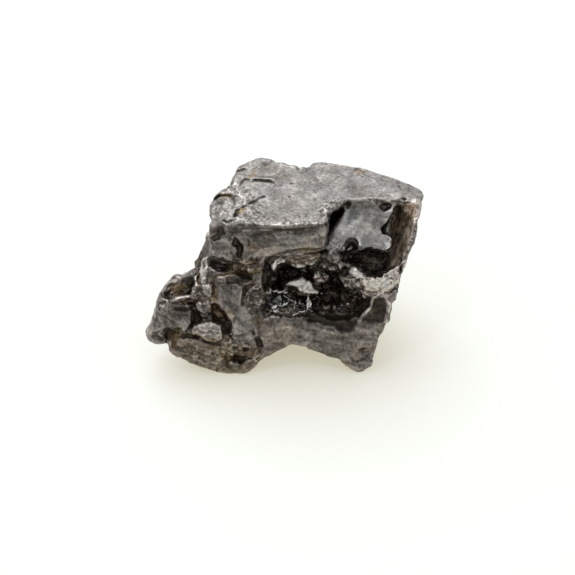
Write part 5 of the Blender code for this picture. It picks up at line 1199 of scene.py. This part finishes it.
STAIN = {  # how rusty, softness of the edge, outline
    "wall": (0.6, 0.12, [
        (9.3, 6.4), (10.2, 6.3), (10.1, 5.6), (9.8, 4.8), (9.5, 4.0), (9.2, 4.1), (9.3, 5.5)]),
    "finger_gap": (1, 0.06, [
        (0.84, 1.5), (1.0, 1.46), (1.16, 1.3), (1.14, 1.16), (1.02, 1.2), (0.86, 1.26)]),
    "cheek_foot": (0.7, 0.06, [(1.1, 1.5), (1.4, 1.58), (2.0, 1.44), (1.9, 1.34), (1.2, 1.38)]),
    "waist_gap": (0.9, 0.05, [
        (2.5, 2.56), (2.7, 2.56), (2.86, 2.38), (2.93, 2.16), (2.86, 2.0), (2.66, 2.04), (2.54, 2.24)]),
    "waist_edge": (0.7, 0.08, [(3.06, 2.3), (3.34, 2.26), (3.36, 2.02), (3.14, 1.96)]),
    "flake_foot": (0.85, 0.07, [
        (2.56, 3.26), (2.7, 3.2), (2.72, 2.9), (2.66, 2.7), (2.44, 2.66), (2.5, 2.84)]),
    "crest_hollow": (0.585, 0.08, [(1.0, 2.96), (1.02, 3.3), (1.4, 3.4), (1.62, 3.2), (1.4, 2.94)]),
    "under_brow": (0.6, 0.1, [(2.9, 4.06), (4.3, 4.2), (4.4, 3.9), (3.8, 3.7), (3.0, 3.7)]),
    "fin_slot": (0.8, 0.05, [(1.95, 3.6), (2.06, 3.7), (2.13, 3.5), (2.0, 3.3)]),
    "olive_pit": (1.0, 0.07, [(2.72, 0.96), (2.94, 0.98), (2.98, 0.78), (2.74, 0.76)]),
    "chin_foot": (0.8, 0.07, [(2.3, 1.26), (2.5, 1.3), (2.84, 1.2), (2.7, 1.08), (2.4, 1.1)]),
    "sole_end": (0.6, 0.12, [(2.7, 0.8), (4.2, 0.9), (4.2, 0.4), (3.8, 0.1), (2.9, 0.2)]),
    "roof_of_hollow": (0.35, 0.08, [(5.3, 4.3), (6.5, 4.5), (6.6, 4.2), (5.6, 4.06)]),
    "corner_gap": (0.8, 0.06, [(3.4, 5.9), (3.5, 6.14), (3.8, 6.24), (3.7, 6.0)]),
    "top_dashes": (0.6, 0.08, [(3.8, 7.4), (4.1, 7.6), (4.16, 7.4), (3.9, 7.3)]),
    "top_bits": (0.5, 0.08, [(7.8, 7.6), (8.1, 7.7), (8.3, 7.5), (8.0, 7.5)]),
    "brow_slot": (0.18, 0.08, [(3.4, 4.9), (3.5, 5.0), (3.7, 4.6), (3.5, 4.4)]),
    "side_ground": (0.35, 0.12, [(3.5, 4.2), (4.44, 4.26), (4.42, 3.8), (4.0, 3.7), (3.6, 3.8)]),
    "brow_pit": (0.2, 0.08, [
        (2.5, 5.0), (2.6, 5.2), (2.96, 5.42), (2.98, 5.24), (2.78, 5.1), (2.66, 4.98)]),
    "block_groove": (0.9, 0.07, [(2.66, 6.56), (2.8, 6.72), (3.24, 6.7), (3.3, 6.56), (3.0, 6.56)]),
    "pit": (0.25, 0.1, [(7.3, 4.5), (8.3, 4.7), (9.0, 4.4), (9.0, 3.8), (8.6, 3.6), (8.1, 3.9)]),
    "notch": (0.1, 0.06, [
        (7.52, 4.86), (7.6, 5.0), (7.76, 5.04), (7.92, 4.94), (7.94, 4.72), (7.56, 4.74)]),
    "hollow": (0.35, 0.1, [
        (4.4, 3.0), (4.4, 3.9), (5.0, 3.9), (6.2, 3.6), (7.6, 3.1), (7.8, 2.5), (6.4, 2.4), (5.0, 2.4)]),
    "side_crevice": (0.15, 0.06, outline_side_crevice),
    "sole": (0.3, 0.2, outline_whole_sole),
    "sole_island": (0.05, 0.06, [(3.14, 0.44), (3.44, 0.46), (3.54, 0.32), (3.36, 0.2), (3.18, 0.24)]),
    "bridge_left": (0.18, 0.3, [(4.3, 1.9), (5.6, 1.9), (5.8, 1.1), (5.0, 1.0), (4.4, 0.6)]),
    "waist_dark": (0.16, 0.06, [(2.7, 1.92), (2.96, 2.12), (3.24, 1.94), (3.24, 1.72), (2.94, 1.78)]),
    "chin_below": (0.6, 0.07, [(1.2, 1.5), (1.5, 1.54), (2.0, 1.46), (2.3, 1.3), (2.0, 1.32), (1.3, 1.38)]),
    "chin_side": (0.65, 0.07, [(2.92, 1.5), (3.06, 1.5), (3.2, 1.36), (3.14, 1.22), (2.92, 1.24)]),
    "low_lobe": (0.4, 0.12, [
        (2.9, 1.16), (3.4, 1.1), (4.0, 0.84), (4.3, 0.9), (4.3, 0.6), (3.4, 0.7), (2.9, 0.9)]),
    "hollow_floor": (0.15, 0.1, [(6.5, 2.7), (7.4, 2.66), (8.3, 2.8), (8.3, 2.44), (7.8, 2.1), (6.5, 2.3)]),
    "sole_brown": (1, 0.08, [(2.8, 0.9), (2.96, 0.72), (3.1, 0.7), (3.0, 0.52), (2.84, 0.6)]),
    "hollow_left": (0.05, 0.05, [
        (4.32, 3.05), (4.34, 3.7), (4.44, 4.1), (4.66, 4.18), (4.78, 3.9), (5.1, 3.6), (5.1, 3.2),
        (4.6, 3.0)]),
    "spur_gap": (0.6, 0.05, outline_spur_gap),
    "brow_foot": (0.6, 0.08, [(5.66, 4.66), (6.24, 4.72), (6.32, 4.56), (5.7, 4.54)]),
    "brow_olive": (0.35, 0.1, [(3.74, 4.82), (4.22, 4.86), (4.3, 4.62), (3.8, 4.6)]),
    "tongue_band": (0.805, 0.06, [(2.56, 3.3), (2.7, 3.26), (2.72, 2.9), (2.66, 2.66), (2.54, 2.7)]),
    "pit_brown": (0.8, 0.05, [
        (2.94, 0.66), (3.3, 0.66), (3.8, 0.6), (3.78, 0.48), (3.4, 0.42), (3.0, 0.48)]),
    "slab_left": (0.9, 0.06, [(0.94, 1.46), (1.14, 1.5), (1.26, 1.34), (1.18, 1.14), (1.0, 1.2)]),
    "block_gap": (0.7, 0.05, outline_block_gap),
    "chin_left": (0.15, 0.05, outline_chin_left),
    "sole_corner": (0.95, 0.06, [
        (0.88, 1.42), (0.98, 1.49), (1.25, 1.42), (1.31, 1.26), (1.16, 1.02), (1.06, 0.95), (1.0, 1.1)]),
}

blank = np.zeros(len(skin.points))
store(nugget_mesh, "pale", painted(skin, blank, PAINTED_HIGHLIGHTS) * np.clip(0.6 + 0.4 * chip_glint_tone, 0.0, 1.0))
store(nugget_mesh, "cool", painted(skin, blank, COOL))
cave_stain = np.full(len(skin.points), CAVE_STAIN)
cave_stain += (LOBE_STAIN - CAVE_STAIN) * skin.mark(outline_lobe, soft=0.4)
store(nugget_mesh, "stain", painted(skin, cave * cave_stain, STAIN))
store(nugget_mesh, "proud", np.clip(fine / FINE_RELIEF, -1.0, 1.0))
store(nugget_mesh, "ridge", np.clip(broad / BROAD_RELIEF, -1.0, 1.0))
print("fine relief", np.round(np.percentile(fine, (2, 98)), 4).tolist(),
      "broad", np.round(np.percentile(broad, (2, 98)), 4).tolist())

# %% [markdown]
# ## The nugget's skin in its place
# The mesh goes back from layout millimetres to metres, and takes the place of the plain solid.

# %% Skin in its place
nugget_mesh.transform(TO_WORLD)
nugget_skin = mesh_object("nugget_skin", nugget_mesh)
nugget_mesh.shade_smooth()
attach(nugget_skin, "root")
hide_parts("nugget")
print("nugget skin with", len(nugget_mesh.polygons), "triangles, back in metres")

# %% [markdown]
# ## Small tools for finishes
# A material is a graph of nodes. These short calls add one node each and hand back its output,
# so that a finish reads like a recipe. Every pattern is tied to the piece itself.

# %% Tools for finishes
PER_MM = 1000.0  # noise is sized in swells per millimetre, and the coordinates are metres


class Finish:
    """A material built from nodes, with short calls for the ones used here."""

    def __init__(self, name):
        self.material = bpy.data.materials.new(name)
        self.material.use_nodes = True
        self.tree = self.material.node_tree
        self.shader = self.tree.nodes["Principled BSDF"]
        self.place = self.tree.nodes.new("ShaderNodeTexCoord").outputs["Object"]

    def put(self, value, socket):
        """Links a socket to a socket, or writes a plain value into it."""
        if isinstance(value, bpy.types.NodeSocket):
            self.tree.links.new(value, socket)
        else:
            socket.default_value = value

    def stored(self, name):
        """The number kept on the points under this name."""
        made = self.tree.nodes.new("ShaderNodeAttribute")
        made.attribute_name = name
        return made.outputs["Fac"]

    def grain(self, per_mm, detail=4.0, roughness=0.6):
        """Noise with this many swells to the millimetre, about 0.5 in the middle."""
        made = self.tree.nodes.new("ShaderNodeTexNoise")
        made.inputs["Scale"].default_value = per_mm * PER_MM
        made.inputs["Detail"].default_value = detail
        made.inputs["Roughness"].default_value = roughness
        self.put(self.place, made.inputs["Vector"])
        return made.outputs["Fac"]

    def sums(self, operation, first, second=0.0, third=0.0):
        """One step of arithmetic on numbers."""
        made = self.tree.nodes.new("ShaderNodeMath")
        made.operation = operation
        for value, socket in zip((first, second, third), made.inputs):
            self.put(value, socket)
        return made.outputs[0]

    def span(self, value, low, high, to_low=0.0, to_high=1.0):
        """The value carried from one range to another, and held inside it."""
        made = self.tree.nodes.new("ShaderNodeMapRange")
        for number, socket in zip((value, low, high, to_low, to_high), made.inputs):
            self.put(number, socket)
        return made.outputs[0]

    def mix(self, share, first, second, blend="MIX"):
        """Two colours mixed."""
        made = self.tree.nodes.new("ShaderNodeMix")
        made.data_type = "RGBA"
        made.blend_type = blend
        self.put(share, made.inputs["Factor"])
        colours_in = [socket for socket in made.inputs if socket.type == "RGBA"]
        for value, socket in zip((first, second), colours_in):
            self.put(value, socket)
        return next(socket for socket in made.outputs if socket.type == "RGBA")

    def bump(self, height, reach_mm, strength=1.0, under=None):
        """A normal bent by a height, which stands this many millimetres tall."""
        made = self.tree.nodes.new("ShaderNodeBump")
        made.inputs["Strength"].default_value = strength
        made.inputs["Distance"].default_value = reach_mm / PER_MM
        self.put(height, made.inputs["Height"])
        if under is not None:
            self.put(under, made.inputs["Normal"])
        return made.outputs["Normal"]


print("tools for finishes ready")

# %% [markdown]
# ## Platinum: film
# Native platinum is never mirror bright. A grey film covers it, thinner on worn edges and thicker
# in dents, so how light the metal is comes from the stored shine and relief, with patches, a
# mottle, flecks and fine pores laid over it. The relief paints proud points lighter and sunk ones
# darker, which is partly wear and partly painted highlight on edges and painted shade in creases.

# %% Film on the platinum
platinum = Finish("native_platinum")
patch = platinum.grain(2.2, 4.0, 0.6)
mottle = platinum.grain(7.0, 4.0, 0.6)
fleck = platinum.grain(19.0, 3.0, 0.6)
patches = platinum.span(patch, 0.32, 0.68, 0.70, 1.30)
mottles = platinum.span(mottle, 0.32, 0.68, 0.60, 1.38)
flecks = platinum.span(fleck, 0.32, 0.68, 0.76, 1.22)
pores = platinum.span(platinum.grain(14.0, 3.0), 0.36, 0.44, 0.60, 1.0)
film = platinum.sums("MULTIPLY", patches, mottles)
film = platinum.sums("MULTIPLY", film, flecks)
film = platinum.sums("MULTIPLY", film, pores)
calm_when_bright = platinum.span(platinum.stored("shine"), 0.19, 0.21, 1.0, 0.8)
calm_when_bare = platinum.span(platinum.stored("cool"), 0.3, 0.7, 1.0, 0.8)
contrast = platinum.sums("MULTIPLY", calm_when_bright, calm_when_bare)
film = platinum.sums("MULTIPLY_ADD", film, contrast, platinum.sums("SUBTRACT", 1.0, contrast))
# Proud points lighter and sunk points darker: partly wear, partly painted highlight and painted shade.
wear_and_crease_shade = platinum.span(platinum.stored("proud"), -1.0, 1.0, 0.72, 1.28)
edge = platinum.span(platinum.stored("ridge"), -1.0, 1.0, 0.70, 1.25)
level = platinum.sums("MULTIPLY", platinum.stored("shine"), platinum.sums("MULTIPLY", wear_and_crease_shade, edge))
level = platinum.sums("MINIMUM", platinum.sums("MULTIPLY", level, film), 0.80)
print("the film takes", len(platinum.tree.nodes), "nodes")

# %% [markdown]
# ## Platinum: colours
# The metal is a warm grey, bluish on bare crystal faces, and brownish where its shine is lowest,
# which also tints the painted shade brown. It is a metal all over, except where brown oxide lies in
# the crevices or the pale painted highlights cover it: those two scatter the light instead of
# mirroring it. The oxide goes from near black to brown and olive.

# %% Colours of the platinum
warm_grey, cool_grey, shade_and_tarnish_brown = (1.0, 0.89, 0.80, 1.0), (0.90, 0.97, 1.0, 1.0), (1.0, 0.80, 0.64, 1.0)
brown, olive = (0.22, 0.112, 0.030, 1.0), (0.215, 0.150, 0.033, 1.0)
dark_rust, black_rust = (0.046, 0.022, 0.008, 1.0), (0.016, 0.008, 0.003, 1.0)
painted_highlight_white = (0.95, 0.92, 0.86, 1.0)

hue = platinum.mix(platinum.stored("cool"), warm_grey, cool_grey)
# Brown where the shine is lowest: partly dark tarnish, partly painted shade tinted brown.
brown_in_dark_and_shade = platinum.span(platinum.stored("shine"), 0.02, 0.14, 1.0, 0.0)
hue = platinum.mix(brown_in_dark_and_shade, hue, shade_and_tarnish_brown)
level_colour = platinum.tree.nodes.new("ShaderNodeCombineColor")
for socket in level_colour.inputs:
    platinum.put(level, socket)
metal = platinum.mix(1.0, hue, level_colour.outputs[0], "MULTIPLY")
rust = platinum.mix(platinum.span(platinum.grain(1.3), 0.42, 0.58), brown, olive)
rust = platinum.mix(platinum.span(mottle, 0.32, 0.54), dark_rust, rust)
rust = platinum.mix(platinum.span(platinum.stored("ridge"), -1.0, -0.1, 0.6, 0.0), rust, black_rust)
stained = platinum.sums("MULTIPLY", platinum.stored("stain"), platinum.span(patch, 0.35, 0.55, 0.6, 1.0))
# The pale, dull colour here is painted highlight.
painted_highlight_film = platinum.sums("MULTIPLY", platinum.stored("pale"), platinum.span(fleck, 0.30, 0.60, 0.55, 1.0))
base_with_highlights = platinum.mix(painted_highlight_film, platinum.mix(stained, metal, rust), painted_highlight_white)
platinum.put(base_with_highlights, platinum.shader.inputs["Base Color"])
rust_or_highlight = platinum.sums("MAXIMUM", stained, painted_highlight_film)
platinum.put(platinum.span(rust_or_highlight, 0.0, 1.0, 0.95, 0.10), platinum.shader.inputs["Metallic"])
print("the colours bring it to", len(platinum.tree.nodes), "nodes")

# %% [markdown]
# ## Platinum: gloss
# The film is satin, duller where it is bare or rusty. Noise too fine for the mesh goes into the
# bump, so that the light breaks up in small sparks.

# %% Gloss of the platinum
gloss = platinum.span(mottle, 0.3, 0.7, 0.29, 0.43)
gloss = platinum.sums("ADD", gloss, platinum.sums("MULTIPLY", stained, 0.10))
gloss = platinum.sums("MULTIPLY_ADD", platinum.stored("cool"), 0.35, gloss)
platinum.put(gloss, platinum.shader.inputs["Roughness"])
fine_bump = platinum.bump(platinum.grain(26.0, 2.0), 0.006, 0.6)
surface = platinum.bump(platinum.grain(9.0, 3.0), 0.012, 0.6, fine_bump)
platinum.put(surface, platinum.shader.inputs["Normal"])
nugget_mesh.materials.clear()
nugget_mesh.materials.append(platinum.material)
print("platinum has", len(platinum.tree.nodes), "nodes")

# %% [markdown]
# ## Dark crystals: grains
# In the middle hollow grows a crust of small dark oxide crystals with glassy faces. The solid
# holds their bed and the larger ones. Here many smaller ones are set on its points, each an
# eight-sided grain made from a coarse ball of four sides and turned its own way, so that their
# faces catch the light one by one.

# %% Crystal grains
CRYSTALS = 230
smallest, largest = 0.05, 0.13  # layout millimetres from middle to tip
LONGEST_CRYSTAL = 0.8  # a crystal is up to this share longer than it is wide

crust = bmesh.new()
crust.from_mesh(solid_copy("hollow_crystals"))
painted_glint = crust.verts.layers.float.new("painted_glint")
crust.verts.ensure_lookup_table()
seats = [vert.co.copy() for vert in crust.verts if vert.normal.dot(towards_viewer) > 0.0]
for number in range(CRYSTALS):
    seat = seats[chance.integers(len(seats))]
    size = smallest + (largest - smallest) * chance.random() ** 2
    turn = Euler(chance.random(3) * math.tau).to_matrix().to_4x4()
    stretch = Matrix.Diagonal((1.0, 1.0, 1.0 + LONGEST_CRYSTAL * chance.random(), 1.0))
    bmesh.ops.create_uvsphere(
        crust, u_segments=4, v_segments=2, radius=size, matrix=Matrix.Translation(seat) @ turn @ stretch)
print(CRYSTALS, "crystal grains on", len(seats), "seats")

# %% [markdown]
# ## Dark crystals: painted glints
# Among the crystals lie thin, white, shiny splinters, some of them bent: painted glints, standing
# for sparks of light on the crystals' faces. Each is a flattened ball. A ray from the viewer finds
# where it lies on the crystals or on the metal, and it stands a little off that spot and leans
# back, so that it gets light. A number stored on its points tells the material that it is a
# painted glint.

# %% Painted glints
GLINT_SHARDS = [  # middle, heading in degrees, half length and half width
    (4.56, 3.0, 30, 0.08, 0.034), (4.7, 3.08, 75, 0.1, 0.04), (4.64, 2.98, 0, 0.07, 0.03),
    (4.86, 3.06, 10, 0.11, 0.04), (5.02, 3.02, -8, 0.11, 0.046), (5.16, 3.05, 20, 0.1, 0.044),
    (5.26, 3.0, -30, 0.08, 0.032), (4.86, 2.47, 30, 0.12, 0.062), (4.99, 2.4, 70, 0.09, 0.048),
    (4.92, 2.32, 50, 0.08, 0.026), (4.78, 2.42, -60, 0.09, 0.028), (4.84, 2.3, -55, 0.09, 0.028),
    (5.28, 2.58, 20, 0.1, 0.05), (5.06, 2.52, 25, 0.08, 0.03), (5.16, 2.5, 50, 0.07, 0.024),
    (5.24, 2.54, 30, 0.07, 0.03), (5.1, 2.6, 80, 0.05, 0.022), (5.52, 2.56, 80, 0.05, 0.016),
    (5.28, 2.84, -28, 0.14, 0.022), (5.42, 2.74, -42, 0.14, 0.02), (5.4, 2.88, -30, 0.12, 0.016),
    (5.54, 2.68, -60, 0.12, 0.018), (5.64, 2.62, 84, 0.13, 0.018), (5.6, 2.44, 75, 0.09, 0.016),
    (5.8, 2.62, 80, 0.1, 0.022), (5.84, 2.74, -40, 0.08, 0.022), (5.7, 2.22, 28, 0.14, 0.02),
    (5.9, 2.29, 10, 0.14, 0.022), (5.6, 2.17, 60, 0.07, 0.026), (6.12, 2.78, 80, 0.14, 0.034),
    (6.22, 2.56, 85, 0.14, 0.042), (6.1, 2.44, 95, 0.12, 0.028), (6.34, 2.76, 20, 0.11, 0.024),
    (6.44, 2.86, -35, 0.11, 0.022), (7.62, 2.57, 10, 0.06, 0.036), (6.5, 2.56, 0, 0.05, 0.024),
    (7.12, 2.48, 20, 0.05, 0.02), (7.92, 2.86, 60, 0.06, 0.026), (7.9, 3.0, 80, 0.05, 0.022)]
SHARD_RAISE = 0.18  # layout millimetres in front of what it lies on
SHARD_DEPTH, SHARD_BEND, SHARD_LEAN = 0.05, 0.05, 0.15
RAY_START = 20.0  # layout millimetres in front of the nugget


def faces_of(mesh):
    """The corners of each face of the mesh."""
    return [list(face.vertices) for face in mesh.polygons]


skin_bush = BVHTree.FromPolygons(skin.points.tolist(), faces_of(nugget_mesh))
grown = [BVHTree.FromBMesh(crust), skin_bush]
up_in_view = Vector((0.0, SIN, COS))
face = (towards_viewer + up_in_view * SHARD_LEAN).normalized()
for across, up, heading, length, width in GLINT_SHARDS:
    eye = Vector((across, 0.0, 0.0)) + up_in_view * up + towards_viewer * RAY_START
    hits = [ray for ray in (bush.ray_cast(eye, -towards_viewer)[0] for bush in grown) if ray]
    seat = max(hits, key=lambda place: place.dot(towards_viewer))
    lean = math.radians(heading)
    along = Vector((math.cos(lean), 0.0, 0.0)) + up_in_view * math.sin(lean)
    along = (along - face * along.dot(face)).normalized()
    side = face.cross(along)
    turn = Matrix((along, side, face)).transposed().to_4x4()
    shape = Matrix.Diagonal((length, width, SHARD_DEPTH, 1.0))
    raised = Matrix.Translation(seat + towards_viewer * SHARD_RAISE)
    made = bmesh.ops.create_uvsphere(
        crust, u_segments=8, v_segments=6, radius=1.0, matrix=raised @ turn @ shape)
    for vert in made["verts"]:
        vert[painted_glint] = 1.0
        sway = (vert.co - seat).dot(along) / length
        vert.co += side * SHARD_BEND * sway * sway
print(len(GLINT_SHARDS), "pale shards")

# %% [markdown]
# ## Dark crystals: finished piece
# The bed, the grains and the painted glints become one piece, the crust. Its faces stay flat,
# because a crystal's faces are.

# %% Crystal crust
bmesh.ops.recalc_face_normals(crust, faces=crust.faces)
crystal_mesh = bpy.data.meshes.new("crystal_crust")
crust.to_mesh(crystal_mesh)
crust.free()
crystal_mesh.transform(TO_WORLD)
crystal_crust = mesh_object("crystal_crust", crystal_mesh)
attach(crystal_crust, "root")
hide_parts("hollow_crystals")
print("crust with", len(crystal_mesh.polygons), "faces")

# %% [markdown]
# ## Dark oxide
# The crystals are black to dark brown and glassy, with a high index of refraction, so they are
# dark but glint. The shards are painted glints, nearly white and half metallic.

# %% Dark oxide
oxide_black, oxide_brown = (0.012, 0.010, 0.009, 1.0), (0.05, 0.03, 0.02, 1.0)
painted_glint_white = (1.0, 0.98, 0.95, 1.0)

glassy = Finish("dark_oxide")
shade = glassy.mix(glassy.span(glassy.grain(3.0), 0.45, 0.6), oxide_black, oxide_brown)
# Painted glints get a near-white colour.
shade = glassy.mix(glassy.stored("painted_glint"), shade, painted_glint_white)
glassy.put(shade, glassy.shader.inputs["Base Color"])
glassy.put(glassy.span(glassy.stored("painted_glint"), 0.0, 1.0, 0.0, 0.5), glassy.shader.inputs["Metallic"])
glassy.put(glassy.span(glassy.grain(12.0), 0.4, 0.6, 0.05, 0.22), glassy.shader.inputs["Roughness"])
glassy.shader.inputs["IOR"].default_value = 2.4
glassy.put(glassy.bump(glassy.grain(20.0, 2.0), 0.006, 0.4), glassy.shader.inputs["Normal"])
crystal_mesh.materials.clear()
crystal_mesh.materials.append(glassy.material)
print("dark oxide has", len(glassy.tree.nodes), "nodes")

# %% [markdown]
# ## Table
# The nugget stands on a sheet of white acrylic lit from below, as small specimens often are. The
# sheet's own faint glow, which is painted light, keeps it nearly white and lifts the shadow, and
# its warm colour warms the shadow. A plain white table would need so much light from above that
# the metal would go pale too.

# %% Table
TABLE_HALF = 1.5  # metres
table_mesh = bpy.data.meshes.new("table")
table_shape = bmesh.new()
bmesh.ops.create_grid(table_shape, x_segments=1, y_segments=1, size=TABLE_HALF)
table_shape.to_mesh(table_mesh)
table_shape.free()
table = mesh_object("table", table_mesh)

acrylic = Finish("white_table")
cloudy, clear = (0.40, 0.45, 0.51, 1.0), (0.41, 0.46, 0.52, 1.0)
acrylic.put(acrylic.mix(acrylic.grain(0.02), cloudy, clear), acrylic.shader.inputs["Base Color"])
acrylic.shader.inputs["Roughness"].default_value = 0.7
# The warm glow is painted light: it warms the shadow under the nugget.
acrylic.shader.inputs["Emission Color"].default_value = (1.0, 0.92, 0.68, 1.0)
acrylic.shader.inputs["Emission Strength"].default_value = 0.505
table_mesh.materials.append(acrylic.material)
print("table", 2 * TABLE_HALF, "m wide")

# %% [markdown]
# ## Lamps
# A broad lamp above and behind gives the top its brightness and the soft shadow in front. A
# small one puts sparks on edges and crystals.

# %% Lamps
def lamp(name, place, size, watts):
    """A square lamp that points at the nugget."""
    data = bpy.data.lights.new(name, "AREA")
    data.size = size
    data.energy = watts
    made = bpy.data.objects.new(name, data)
    made.location = place
    made.rotation_mode = "QUATERNION"
    made.rotation_quaternion = (look_at - Vector(place)).to_track_quat("-Z", "Y")
    bpy.context.scene.collection.objects.link(made)


# each lamp's place and size are in metres
lamp("overhead", (-0.07, 0.175, 0.225), 0.25, 0.56)
lamp("spark", (-0.10, -0.06, 0.26), 0.02, 0.05)
print("two lamps")

# %% [markdown]
# ## Tent of soft light
# Round it all hangs a bright tent of soft light. It is brightest above and behind, and dim on the
# viewer's side, because a metal shows its form by what it mirrors: the top goes light, the front
# stays dark. Colours are shown as they are, with no film look laid over them.

# %% Tent
TENT_SLOPE = 0.6  # how much the height counts beside the depth
TENT_SPAN = (-0.8, 0.9, 0.28, 1.0)  # from, to, and the strength there

tent = bpy.data.worlds.new("tent")
tent.use_nodes = True
bpy.context.scene.world = tent
nodes, links = tent.node_tree.nodes, tent.node_tree.links
direction = nodes.new("ShaderNodeTexCoord").outputs["Generated"]
parts = nodes.new("ShaderNodeSeparateXYZ")
links.new(direction, parts.inputs[0])
back_and_up = nodes.new("ShaderNodeMath")
back_and_up.operation = "MULTIPLY_ADD"
back_and_up.inputs[1].default_value = TENT_SLOPE
links.new(parts.outputs["Z"], back_and_up.inputs[0])
links.new(parts.outputs["Y"], back_and_up.inputs[2])
ramp = nodes.new("ShaderNodeMapRange")
for socket, number in zip(list(ramp.inputs)[1:5], TENT_SPAN):
    socket.default_value = number
links.new(back_and_up.outputs[0], ramp.inputs[0])
links.new(ramp.outputs[0], nodes["Background"].inputs["Strength"])
nodes["Background"].inputs["Color"].default_value = (0.97, 0.98, 1.0, 1.0)
bpy.context.scene.view_settings.view_transform = "Standard"
print("tent ready")
